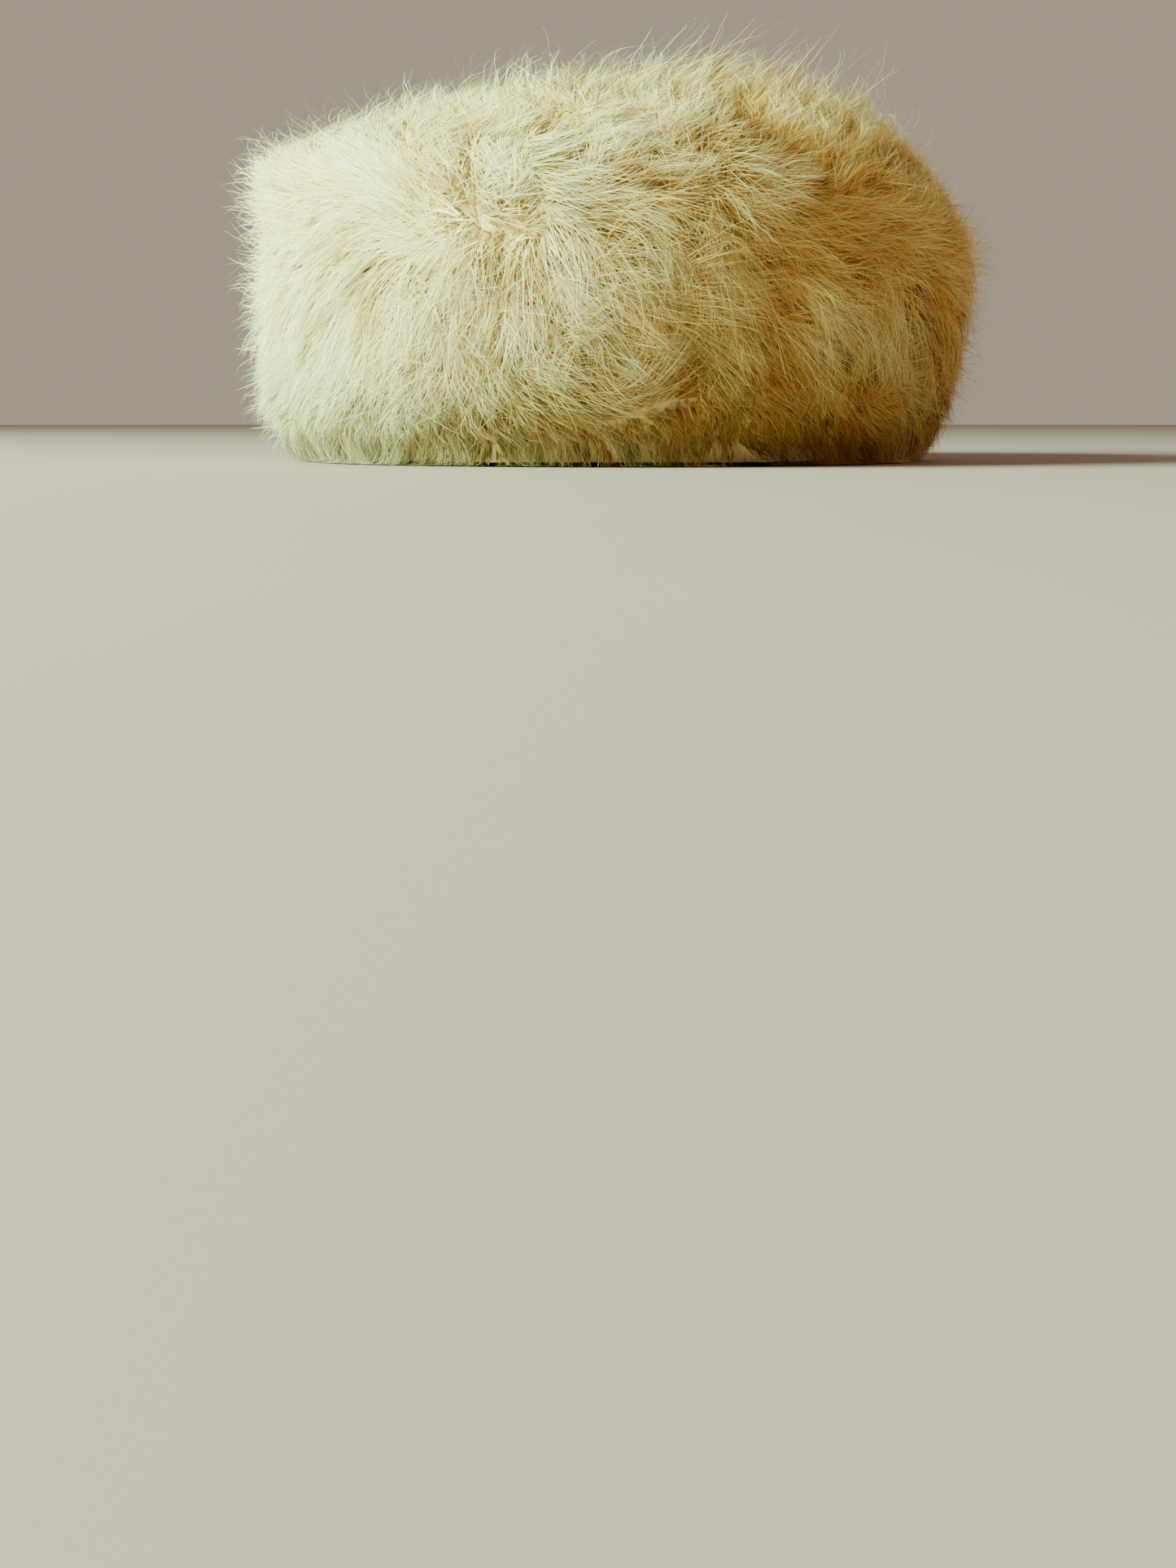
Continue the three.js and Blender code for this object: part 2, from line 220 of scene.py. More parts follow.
class HatForm:
    """The hat's skin and the outer form of its pile, by angle from the front and share of the way up."""

    ANGLE_STEPS = 360
    SHARE_STEPS = 240
    SKIN_WALL = 2.4 * MM
    SEAM_GAP = 0.3 * MM
    SKIN_HEIGHT = 90 * MM
    PILE_DEPTH = 26 * MM
    BAND_SHOW = 1.6 * MM
    HANG_RATE = 100 * MM
    SURFACE_DEPTH = 0.8

    # The least distance from the crown's middle, as a share, and the least metres per radian and per share
    LEAST_RADIUS = 0.03
    LEAST_ROUND_RATE = 0.002
    LEAST_CLIMB_RATE = 0.05

    def __init__(self) -> None:
        """Works the form out from the rim band's box and keeps it as grids."""
        low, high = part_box("rim_band")
        self.centre = np.array([(low.x + high.x) / 2, (low.y + high.y) / 2, low.z + self.BAND_SHOW])
        self.half_width = (high.x - low.x) / 2 + self.SEAM_GAP + self.SKIN_WALL
        self.half_length = (high.y - low.y) / 2 + self.SEAM_GAP + self.SKIN_WALL
        angles = np.linspace(0, TURN, self.ANGLE_STEPS + 1)
        shares = np.linspace(0, 1, self.SHARE_STEPS + 1)
        angle, share = (grid.ravel() for grid in np.meshgrid(angles, shares, indexing="ij"))
        shape = (self.ANGLE_STEPS + 1, self.SHARE_STEPS + 1, 3)
        self.skin_grid = self.skin(angle, share).reshape(shape)
        self.tip_grid = self.tips(angle, share).reshape(shape)
        surface = self.skin_grid + self.SURFACE_DEPTH * (self.tip_grid - self.skin_grid)
        round_slope = np.gradient(surface, angles, axis=0)
        climb_slope = np.gradient(surface, shares, axis=1)
        normal = np.cross(round_slope, climb_slope)
        self.area_grid = np.linalg.norm(normal, axis=2)
        normal /= np.maximum(self.area_grid, 1e-9)[..., None]
        normal[:, -1] = (0, 0, 1)
        self.surface_grid = surface
        self.normal_grid = normal
        self.round_rate = np.linalg.norm(round_slope, axis=2)[..., None]
        self.climb_rate = np.linalg.norm(climb_slope, axis=2)[..., None]

    def skin(self, angle: np.ndarray, share: np.ndarray, inside: float = 0.0) -> np.ndarray:
        """Points of the skin.

        Args:
            angle: Angles from the front, in radians.
            share: Shares of the way up.
            inside: How far inside the skin's outer face, in metres.

        Returns:
            One row of x, y and z per point.
        """
        row = SKIN_STATIONS.at(share)
        x = (self.half_width - inside) * row["reach"] * np.sin(angle)
        y = -(self.half_length - inside) * row["reach"] * np.cos(angle)
        z = (self.SKIN_HEIGHT - inside) * row["rise"]
        return np.stack([x, y, z], axis=1) + self.centre

    def tips(self, angle: np.ndarray, share: np.ndarray) -> np.ndarray:
        """Points of the outer form that the tips of the pile reach.

        Args:
            angle: Angles from the front, in radians.
            share: Shares of the way up.

        Returns:
            One row of x, y and z per point.
        """
        row = SKIN_STATIONS.at(share)
        out = PILE_OUT.at(share)
        up = PILE_UP.at(share)
        right = self.half_width * row["reach"] + self.PILE_DEPTH * out["right"]
        left = -self.half_width * row["reach"] - self.PILE_DEPTH * out["left"]
        back = self.half_length * row["reach"] + self.PILE_DEPTH * out["back"]
        front = -self.half_length * row["reach"] - self.PILE_DEPTH * out["front"]
        sine, cosine = np.sin(angle), np.cos(angle)
        side_up = np.where(sine > 0, up["right"], up["left"])
        end_up = np.where(cosine > 0, up["front"], up["back"])
        x = (right + left) / 2 + (right - left) / 2 * sine
        y = (back + front) / 2 - (back - front) / 2 * cosine
        z = self.SKIN_HEIGHT * row["rise"] + self.PILE_DEPTH * (side_up * sine**2 + end_up * cosine**2)
        return np.stack([x, y, z], axis=1) + self.centre

    def sample(self, grid: np.ndarray, angle: np.ndarray, share: np.ndarray) -> np.ndarray:
        """Reads a grid between its points.

        Args:
            grid: One of this form's grids.
            angle: Angles from the front, in radians.
            share: Shares of the way up.

        Returns:
            One row per point.
        """
        a = np.mod(angle, TURN) / TURN * self.ANGLE_STEPS
        b = np.clip(share, 0.0, 1.0) * self.SHARE_STEPS
        i = np.minimum(a.astype(int), self.ANGLE_STEPS - 1)
        j = np.minimum(b.astype(int), self.SHARE_STEPS - 1)
        s, t = (a - i)[:, None], (b - j)[:, None]
        low = grid[i, j] * (1 - s) + grid[i + 1, j] * s
        high = grid[i, j + 1] * (1 - s) + grid[i + 1, j + 1] * s
        return low * (1 - t) + high * t

    def surface(self, angle: np.ndarray, share: np.ndarray) -> np.ndarray:
        """Points of the surface that hair is placed on, one row of x, y and z per angle and share."""
        return self.sample(self.surface_grid, angle, share)

    def pile(self, angle: np.ndarray, share: np.ndarray, depth: np.ndarray) -> np.ndarray:
        """Points in the pile; shares under 0 hang below the rim.

        Args:
            angle: Angles from the front, in radians.
            share: Shares of the way up.
            depth: Shares of the way from the skin (0) to the tips (1).

        Returns:
            One row of x, y and z per point.
        """
        skin = self.sample(self.skin_grid, angle, share)
        tip = self.sample(self.tip_grid, angle, share)
        points = skin + np.asarray(depth)[:, None] * (tip - skin)
        points[:, 2] += self.HANG_RATE * np.minimum(share, 0.0)
        return points

    def drift(
        self, angle: np.ndarray, share: np.ndarray, along: np.ndarray, climb: np.ndarray
    ) -> tuple[np.ndarray, np.ndarray]:
        """Moves places over the surface, also across the middle of the crown.

        Args:
            angle: Angles from the front, in radians.
            share: Shares of the way up.
            along: Metres to move round the hat, towards growing angles.
            climb: Metres to move up the profile.

        Returns:
            The new angles and shares.
        """
        radius = np.maximum(1 - share, self.LEAST_RADIUS)
        round_rate = self.sample(self.round_rate, angle, np.minimum(share, 1 - self.LEAST_RADIUS))[:, 0]
        climb_rate = self.sample(self.climb_rate, angle, share)[:, 0]
        sine, cosine = np.sin(angle), np.cos(angle)
        inward = climb / np.maximum(climb_rate, self.LEAST_CLIMB_RATE)
        sideways = along * radius / np.maximum(round_rate, self.LEAST_ROUND_RATE)
        x = (radius - inward) * sine + sideways * cosine
        y = -(radius - inward) * cosine + sideways * sine
        return np.arctan2(x, -y), 1 - np.hypot(x, y)

    def spots(self, spots: tuple[Spot, ...], points: np.ndarray) -> tuple[np.ndarray, np.ndarray]:
        """How strongly spots act at points.

        Args:
            spots: The spots.
            points: Points of the surface.

        Returns:
            The strengths, one column per spot, and the steps from each spot to each point.
        """
        angle = np.radians([spot.angle for spot in spots])
        share = np.array([spot.share for spot in spots])
        middles = self.surface(angle, share)
        steps = points[:, None, :] - middles[None, :, :]
        reach = np.linalg.norm(steps, axis=2) / np.array([spot.radius for spot in spots])
        return np.exp(-(reach**2)) * np.array([spot.strength for spot in spots]), steps


@dataclass(frozen=True)
class PeltPlan:
    """Where one pelt lies on the hat.

    Attributes:
        node: Name of the pelt's CAD node.
        seam: Number of the side seam it starts from, or None for the crown.
        density: Factor on the number of its hairs.
    """

    node: str
    seam: int | None
    density: float

    FRONT_PARTING = math.radians(-21)
    PELT_ANGLE = math.radians(90)
    CROWN_SEAM = 0.7

    def angles(self) -> tuple[float, float]:
        """Where the pelt starts and ends round the hat.

        Returns:
            Its first and last angle from the front, in radians.
        """
        if self.seam is None:
            return 0.0, TURN
        start = self.FRONT_PARTING + self.seam * self.PELT_ANGLE
        return start, start + self.PELT_ANGLE

    def shares(self) -> tuple[float, float]:
        """The pelt's lowest and highest share of the way up."""
        return (self.CROWN_SEAM, 1.0) if self.seam is None else (0.0, self.CROWN_SEAM)


PELTS = (
    PeltPlan("pelt_front_left", 3, 1.0),
    PeltPlan("pelt_front_right", 0, 1.0),
    PeltPlan("pelt_back_right", 1, 0.92),
    PeltPlan("pelt_back_left", 2, 0.92),
    PeltPlan("pelt_crown", None, 1.0),
)


@dataclass(frozen=True)
class Coat:
    """One kind of hair in the pile.

    Attributes:
        count: How many hairs of this kind a pelt has.
        segments: Sections along each hair.
        width: Width at the root, in metres.
        root_depth: Share of the pile's depth where the hair starts to show.
        tip_depth: Share of the pile's depth that its tip reaches.
        sweep: How far its tip lies along the nap, in metres.
        scatter: Spread of the hairs' headings, in radians.
        gather: How far a lock's hairs draw together at their tips, from 0 to 1.
        stray: How far a tip may stray, in metres.
        wave: Height of its waves, in metres.
        pale: How far its colour goes from root to tip, from 0 to 1.
        round: How rounded it is shaded across, from 0 to 1.
    """

    count: int
    segments: int
    width: float
    root_depth: float
    tip_depth: float
    sweep: float
    scatter: float
    gather: float
    stray: float
    wave: float
    pale: float
    round: float


class Coats(Enum):
    """The kinds of hair, from the softest to the longest."""

    DOWN = Coat(11800, 2, 0.8 * MM, 0.52, 0.79, 12 * MM, 0.25, 0.5, 0.6 * MM, 0.0, 0.5, 0.1)
    GUARD = Coat(15200, 4, 0.19 * MM, 0.55, 0.88, 21.5 * MM, 0.1, 1.0, 0.6 * MM, 1.8 * MM, 0.95, 0.3)
    OVER = Coat(2700, 5, 0.14 * MM, 0.62, 0.96, 28 * MM, 0.2, 0.9, 1.0 * MM, 3.0 * MM, 1.2, 0.3)
    STRAY = Coat(2000, 3, 0.12 * MM, 0.6, 1.12, 14 * MM, 0.5, 0.6, 2.2 * MM, 1.5 * MM, 1.0, 0.3)


@dataclass(frozen=True)
class LockPlan:
    """How guide hairs of one size are scattered.

    Attributes:
        count: How many there are.
        turn: Spread of their headings, in radians.
        slack: How few of them draw their hairs firmly together; 1 for all alike.
        radius: Radius of the lock round each of them, in metres.
    """

    count: int
    turn: float
    slack: float
    radius: float


@dataclass
class Locks:
    """Guide hairs that the others follow.

    Attributes:
        angle: Angles of the guides' roots.
        share: Shares of the way up of their roots.
        points: Points of their roots.
        heading: Turns of their nap, in radians.
        length: Factors on their sweep.
        phase: Phases of their waves.
        rise: How far they stand out beyond the others, about -2 to 2.
        pull: How firmly they draw their hairs together, from 0 to 1.
        tree: Finds the guide nearest to a point.
    """

    angle: np.ndarray
    share: np.ndarray
    points: np.ndarray
    heading: np.ndarray
    length: np.ndarray
    phase: np.ndarray
    rise: np.ndarray
    pull: np.ndarray
    tree: KDTree

    def nearest(self, points: np.ndarray) -> np.ndarray:
        """The number of the guide nearest to each point."""
        return np.fromiter((self.tree.find(point)[1] for point in points), int, len(points))


@dataclass(frozen=True)
class Wave:
    """A wave that runs over the hat.

    Attributes:
        size: Its height.
        round_rate: Its turns round the hat, in radians per radian.
        climb_rate: Its turns up the profile, in radians for the whole way.
        start: Its phase at the front of the rim.
    """

    size: float
    round_rate: float
    climb_rate: float
    start: float = 0.0

    def at(self, angle: np.ndarray, share: np.ndarray) -> np.ndarray:
        """The wave's values at angles and shares of the way up."""
        return self.size * np.sin(self.round_rate * angle + self.climb_rate * share + self.start)


@dataclass
class Hairs:
    """Grown hairs of one kind, one row per hair.

    Attributes:
        points: Points along each hair, from root to tip.
        normals: Normals of the pile at those points.
        gold: How golden each hair is, from 0 to 1, painted shade and painted light included.
        chance: Its shade, a random part of its own with painted shade and light added; lower is deeper.
        width: Its width at the root, in metres.
        roll: How far it is rolled about its length, in radians.
        pale: How far its colour goes from root to tip, cut by painted shade and raised by painted light.
        round: How rounded all of them are shaded across, from 0 to 1.
    """

    points: np.ndarray
    normals: np.ndarray
    gold: np.ndarray
    chance: np.ndarray
    width: np.ndarray
    roll: np.ndarray
    pale: np.ndarray
    round: float


def unit(vectors: np.ndarray) -> np.ndarray:
    """Vectors of length one along the last axis."""
    return vectors / np.maximum(np.linalg.norm(vectors, axis=-1, keepdims=True), 1e-12)


def ramp(values: np.ndarray, low: float, high: float) -> np.ndarray:
    """Rises smoothly from 0 at low to 1 at high."""
    t = np.clip((values - low) / (high - low), 0.0, 1.0)
    return t * t * (3 - 2 * t)


def fall(values: np.ndarray, low: float, high: float) -> np.ndarray:
    """Falls smoothly from 1 at low to 0 at high."""
    return ramp(-values, -high, -low)


def round_way(angle: np.ndarray) -> np.ndarray:
    """Level steps of length one round the hat, towards growing angles."""
    return np.stack([np.cos(angle), np.sin(angle), np.zeros_like(angle)], axis=1)


def rotate(along: np.ndarray, climb: np.ndarray, turn: np.ndarray) -> tuple[np.ndarray, np.ndarray]:
    """Turns steps on the surface.

    Args:
        along: Their parts round the hat.
        climb: Their parts up the profile.
        turn: The turns, in radians.

    Returns:
        The turned parts round the hat and up the profile.
    """
    sine, cosine = np.sin(turn), np.cos(turn)
    return along * cosine - climb * sine, along * sine + climb * cosine


class Fur:
    """Grows the pile of the whole hat along its nap."""

    TUFTS = LockPlan(5500, 0.28, 1.0, 2.6 * MM)
    MOUNDS = LockPlan(560, 0.38, 1.1, 9 * MM)
    LOCK_LENGTHS = (0.8, 1.15)
    MOST_RISE = 2
    SCATTER_COLUMNS = 240
    SCATTER_ROWS = 120
    FLOOR_CLEARANCE = 0.4 * MM

    # The front parting: how it meanders, how far it bends to the left half way up, and how sharp it is
    PARTING_WAVES = (Wave(0.12, 0, 17), Wave(0.06, 0, 41, 2))
    PARTING_BEND = 0.13
    BEND_SHARE = 0.52
    BEND_REACH = 0.1
    PARTING_SHARPNESS = 2.6
    PARTING_LOOSENESS = 0.5
    PARTING_REACH = (0.0, 0.5)

    # Slow turns of the nap, the part of them that is left at the rim, and how much calmer the back hangs
    SWIRLS = (Wave(0.35, 3.1, 9), Wave(0.25, 7.3, -6, 1.7))
    RIM_SWIRL = 0.2
    SWIRL_SHARE = 0.25
    BACK_CALM = 0.35
    WHORL_LIFT = 0.2
    MOST_LIFT = 1.1

    # How golden the hair is, and how that grows or falls from place to place; the change from side to side
    # is partly the fur's own colour and partly painted light, paler where the cool light falls on the left
    # and deeper in the warm shade on the right
    GOLD_BASE = 0.26
    GOLD_RIGHT_AND_SHADE = 0.5
    GOLD_LOW_LEFT_AND_LIGHT = -0.45
    GOLD_HIGH_LEFT_AND_LIGHT = -0.15
    GOLD_SPOT = 0.45
    GOLD_MOTTLE = 0.06
    GOLD_TONE = -0.3
    LOW_HEIGHTS = (10 * MM, 50 * MM)
    LOW_LEFT = (-0.8, 0.2)
    HIGH_HEIGHTS = (88 * MM, 110 * MM)
    HIGH_LEFT = (-0.3, 0.4)
    MOTTLE = (
        (0.21, 0.05, 0.13),
        (-0.09, 0.24, 0.1),
        (0.12, -0.16, 0.27),
        (-0.31, -0.11, 0.2),
        (0.05, 0.37, -0.3),
    )

    # Painted shade on low hair, which keeps the deeper colour of its roots up to its tips: heights, and
    # sines of the angle
    LOW_SHADE_HEIGHTS = (12 * MM, 60 * MM)
    LOW_SHADE_SIDES = (-0.8, -0.1)

    # Height at which the fringe ends: everywhere, and what is added in front and on the right
    HANG = 0.5
    HANG_FRONT = 0.5
    HANG_RIGHT = 0.4
    FRONT_MIDDLE = math.radians(6)
    FRONT_REACH = (0.2, 0.9)
    RIGHT_REACH = (0.5, 1.0)
    RAGGED_FINE = 0.7
    RAGGED_BROAD = 0.4
    FRINGE_PRESS = 0.88

    # Low hairs that grow from the underside: their highest share, how many they are, and where they start
    UNDER_SHARE = 0.12
    UNDER_PART = 0.3
    UNDER_ROOT = 0.01
    UNDER_INSETS = (0.1, 0.95)

    # How ruffled the fur lies left of the parting, how much more to its right, and what is left at the rim
    RUFFLE_LEFT = 0.5
    RUFFLE_RIGHT = 0.7
    RUFFLE_SIDES = (-0.3, 0.3)
    RIM_SETTLE = 0.3
    SETTLE_SHARE = 0.22
    LOOSE_HEADING = 2
    LOOSE_SCATTER = 5

    # Lengths and heights of single hairs, of tufts and of mounds
    HAIR_LENGTHS = (0.85, 1.1)
    LIFT_SHORTENING = 0.6
    MEAN_HEIGHT = 0.97
    MOUND_HEIGHT = 0.045
    MOUND_RISE = 0.03
    MOUND_FLOOR = -0.6
    # Below this share of a mound's height, the valleys between mounds get painted shade
    VALLEY_SHADE_START = 0.5
    TUFT_HEIGHT = 0.02
    TUFT_RISE = 0.04
    LEAST_TIP = 0.93
    TIP_CHANCE = 0.12

    # Tufts that stand up on the crown, and the height above which the tallest hairs are held back
    CREST_SHARES = (0.6, 0.8)
    CREST_RISE = 0.1
    CREST_BASE = 0.79
    MOST_CREST = 0.2
    CREST_GAIN = 1.7
    CREST_START = 124 * MM
    CREST_ROOM = 10 * MM

    # How hairs are drawn together, arc and wave on their way to the tip
    FIRMNESS = 2.2
    FINE_PULL = 0.7
    FINE_PULL_RUFFLED = 0.25
    BROAD_PULL = 0.45
    ARC = 0.35
    PHASE_SPREAD = 0.7
    WAVE_TURNS = 3.6
    SWEEP_CURVE = 1.4
    DRAW_CURVE = 1.6
    RISE_CURVE = 1.7

    # Shading: the tilt of normals across locks, and the tones of valleys, tufts and low hair: painted shade
    # in the valleys and on low hair, painted light on the middles of tufts
    TILT = 0.45
    MOUND_TILT = 0.9
    LOW_SHADE_GOLD = 0.18
    VALLEY_SHADE_GOLD = 0.25
    MOUND_GOLD = 0.05
    PHASE_GOLD = 0.12
    TUFT_LIGHT_GOLD = -0.08
    GOLD_GAIN = 1.7
    GOLD_GAIN_PALE = -0.95
    SPOT_LIGHT_AND_SHADE = 0.45
    # Painted shade that darkens the low fringe, more on the left: how much, the extra on the left, its sines
    # of the angle and its heights
    PAINTED_SHADE_LOW = 0.6
    PAINTED_SHADE_LOW_LEFT = 0.3
    PAINTED_SHADE_LEFT = (-0.2, 0.4)
    PAINTED_SHADE_HEIGHTS = (8 * MM, 48 * MM)
    LOW_SHADE_PALE = -0.4
    VALLEY_SHADE_PALE = -0.4
    # Painted light: hair in the middle of a tuft is paler, like a lit crest
    TUFT_LIGHT_BASE = 0.9
    TUFT_LIGHT_PALE = 0.15
    HAIR_WIDTHS = (0.75, 1.2)
    ROLL_SPREAD = 0.5

    def __init__(self, form: HatForm) -> None:
        """Scatters the guides.

        Args:
            form: The hat's form.
        """
        self.form = form
        self.rng = np.random.default_rng(SEED)
        self.fine = self._locks(self.TUFTS)
        self.broad = self._locks(self.MOUNDS)

    def _locks(self, plan: LockPlan) -> Locks:
        """Scatters guides over the whole hat.

        Args:
            plan: How many there are and how they differ.

        Returns:
            The guides.
        """
        count = plan.count
        angle, share = self.scatter(count, (0.0, TURN), (0.0, 1.0))
        points = self.form.surface(angle, share)
        tree = KDTree(count)
        for number, point in enumerate(points):
            tree.insert(point, number)
        tree.balance()
        heading = self.rng.normal(0.0, plan.turn, count)
        length = self.rng.uniform(*self.LOCK_LENGTHS, count)
        phase = self.rng.uniform(0, TURN, count)
        rise = np.clip(self.rng.normal(0, 1, count), -self.MOST_RISE, self.MOST_RISE)
        pull = self.rng.random(count) ** plan.slack
        return Locks(angle, share, points, heading, length, phase, rise, pull, tree)

    def scatter(
        self, count: int, angles: tuple[float, float], shares: tuple[float, float]
    ) -> tuple[np.ndarray, np.ndarray]:
        """Scatters places evenly over a stretch of the surface.

        Args:
            count: How many places.
            angles: First and last angle.
            shares: Lowest and highest share.

        Returns:
            The places' angles and shares.
        """
        columns = np.linspace(*angles, self.SCATTER_COLUMNS + 1)
        rows = np.linspace(*shares, self.SCATTER_ROWS + 1)
        angle, share = (grid.ravel() for grid in np.meshgrid(columns[:-1], rows[:-1], indexing="ij"))
        weight = self.form.sample(self.form.area_grid[..., None], angle, share)[:, 0]
        chosen = self.rng.choice(len(angle), count, p=weight / weight.sum())
        angle = angle[chosen] + self.rng.random(count) * (columns[1] - columns[0])
        share = share[chosen] + self.rng.random(count) * (rows[1] - rows[0])
        return angle, share

    def nap(
        self, angle: np.ndarray, share: np.ndarray
    ) -> tuple[np.ndarray, np.ndarray, np.ndarray, np.ndarray]:
        """Which way the hair lies.

        Args:
            angle: Angles from the front.
            share: Shares of the way up.

        Returns:
            The steps along and up the profile, together of length one, the lift, and how loose the nap is.
        """
        row = NAP_STATIONS.at(share)
        parting = PeltPlan.FRONT_PARTING
        for wave in self.PARTING_WAVES:
            parting = parting + wave.at(angle, share)
        parting -= self.PARTING_BEND * np.exp(-(((share - self.BEND_SHARE) / self.BEND_REACH) ** 2))
        away = np.clip(self.PARTING_SHARPNESS * np.sin(angle - parting), -1, 1)
        along = row["along"] * away
        climb = row["climb"] * (1 - self.BACK_CALM * ramp(-np.cos(angle), 0.0, 1.0))
        force, steps = self.form.spots(WHORLS, self.form.surface(angle, share))
        steps = unit(steps)
        along = along + (force * np.einsum("nkc,nc->nk", steps, round_way(angle))).sum(1)
        climb = climb + (force * steps[:, :, 2]).sum(1)
        swirl = sum(wave.at(angle, share) for wave in self.SWIRLS)
        swirl *= self.RIM_SWIRL + (1 - self.RIM_SWIRL) * ramp(share, 0.0, self.SWIRL_SHARE)
        along, climb = rotate(along, climb, swirl)
        length = np.maximum(np.hypot(along, climb), 1e-3)
        lift = np.clip(row["lift"] + self.WHORL_LIFT * force.max(1), 0, self.MOST_LIFT)
        parted = self.PARTING_LOOSENESS * (1 - np.abs(away)) * ramp(np.cos(angle), *self.PARTING_REACH)
        return along / length, climb / length, lift, np.maximum(force.max(1), parted)

    def gold(self, angle: np.ndarray, points: np.ndarray) -> np.ndarray:
        """How golden the hair is: pale low on the left, deeper on the right, with patches and a mottle; the
        side-to-side change is partly painted light, pale in the cool light on the left and deep in the warm
        shade on the right.

        Args:
            angle: Angles from the front.
            points: Points of the surface.

        Returns:
            Values from 0 (pale) to 1 (amber).
        """
        sine, height = np.sin(angle), points[:, 2]
        low = fall(height, *self.LOW_HEIGHTS) * fall(sine, *self.LOW_LEFT)
        high = ramp(height, *self.HIGH_HEIGHTS) * fall(sine, *self.HIGH_LEFT)
        mottle = np.zeros(len(points))
        for number, wave in enumerate(self.MOTTLE):
            mottle += np.sin(points @ (np.array(wave) / MM) + number)
        gold = self.GOLD_BASE + self.GOLD_RIGHT_AND_SHADE * ramp(sine, -1.0, 1.0)
        gold = gold + self.GOLD_LOW_LEFT_AND_LIGHT * low + self.GOLD_HIGH_LEFT_AND_LIGHT * high
        gold = gold + self.GOLD_SPOT * self.form.spots(GOLDEN_SPOTS, points)[0].max(1)
        gold = gold + self.GOLD_MOTTLE * mottle
        return np.clip(gold + self.GOLD_TONE * self.form.spots(TONE_AND_LIGHT_SPOTS, points)[0].sum(1), 0, 1)

    def painted_low_shade(self, angle: np.ndarray, points: np.ndarray) -> np.ndarray:
        """How much painted shade the low hair has, as its roots' deeper colour kept up to its tips, from 0
        to 1.
        """
        return fall(points[:, 2], *self.LOW_SHADE_HEIGHTS) * ramp(np.sin(angle), *self.LOW_SHADE_SIDES)

    def hang(self, angle: np.ndarray) -> np.ndarray:
        """Where the fringe ends.

        Args:
            angle: Angles from the front.

        Returns:
            Heights above the surface, in metres.
        """
        front = ramp(np.cos(angle - self.FRONT_MIDDLE), *self.FRONT_REACH)
        right = ramp(np.sin(angle), *self.RIGHT_REACH)
        return (self.HANG + self.HANG_FRONT * front + self.HANG_RIGHT * right) * MM

    def _offset(
        self, locks: Locks, guide: np.ndarray, angle: np.ndarray, share: np.ndarray, roots: np.ndarray
    ) -> tuple[np.ndarray, np.ndarray]:
        """How far roots lie from their guides' roots.

        Args:
            locks: The guides.
            guide: The number of each root's guide.
            angle: Angles of the roots.
            share: Shares of the way up of the roots.
            roots: Their points.

        Returns:
            The offsets round the hat and up the profile.
        """
        offset = roots - locks.points[guide]
        across = round_way(angle)
        climb_way = np.cross(self.form.sample(self.form.normal_grid, angle, share), across)
        return np.einsum("nc,nc->n", offset, across), np.einsum("nc,nc->n", offset, climb_way)

    def _press(self, points: np.ndarray, end: np.ndarray) -> None:
        """Lays hairs on the surface below and holds the tallest back.

        Args:
            points: Points of the hairs, which it moves.
            end: The height at which each hair's fringe ends.
        """
        points[:, :, 2] += np.maximum(end[:, None] - points[:, :, 2], 0) * self.FRINGE_PRESS
        points[:, :, 2] = np.maximum(points[:, :, 2], self.FLOOR_CLEARANCE)
        above = np.maximum(points[:, :, 2] - self.CREST_START, 0)
        points[:, :, 2] += self.CREST_ROOM * np.tanh(above / self.CREST_ROOM) - above

    def grow(self, coat: Coat, angle: np.ndarray, share: np.ndarray) -> Hairs:
        """Grows hairs of one kind.

        Args:
            coat: The kind of hair.
            angle: Angles of the roots.
            share: Shares of the way up of the roots.

        Returns:
            The hairs.
        """
        count = len(angle)
        form, rng = self.form, self.rng
        under = (share < self.UNDER_SHARE) & (rng.random(count) < self.UNDER_PART)
        share = np.where(under, self.UNDER_ROOT, share)
        inset = np.where(under, rng.uniform(*self.UNDER_INSETS, count), 1.0)
        roots = form.surface(angle, share)
        fine = self.fine.nearest(roots)
        broad = self.broad.nearest(roots)
        fine_rise, broad_rise = self.fine.rise[fine], self.broad.rise[broad]
        parted = ramp(np.sin(angle - PeltPlan.FRONT_PARTING), *self.RUFFLE_SIDES)
        ruffle = self.RUFFLE_LEFT + self.RUFFLE_RIGHT * parted
        settle = self.RIM_SETTLE + (1 - self.RIM_SETTLE) * ramp(share, 0.0, self.SETTLE_SHARE)

        along, climb, lift, loose = self.nap(self.fine.angle[fine], self.fine.share[fine])
        turn = self.fine.heading[fine] + self.broad.heading[broad] * (1 + self.LOOSE_HEADING * loose)
        scatter = rng.normal(0, coat.scatter, count) * (1 + self.LOOSE_SCATTER * loose)
        along, climb = rotate(along, climb, settle * (ruffle * turn + scatter))
        length = self.fine.length[fine] * self.broad.length[broad] * rng.uniform(*self.HAIR_LENGTHS, count)
        sweep = coat.sweep * length * (1 - self.LIFT_SHORTENING * lift)

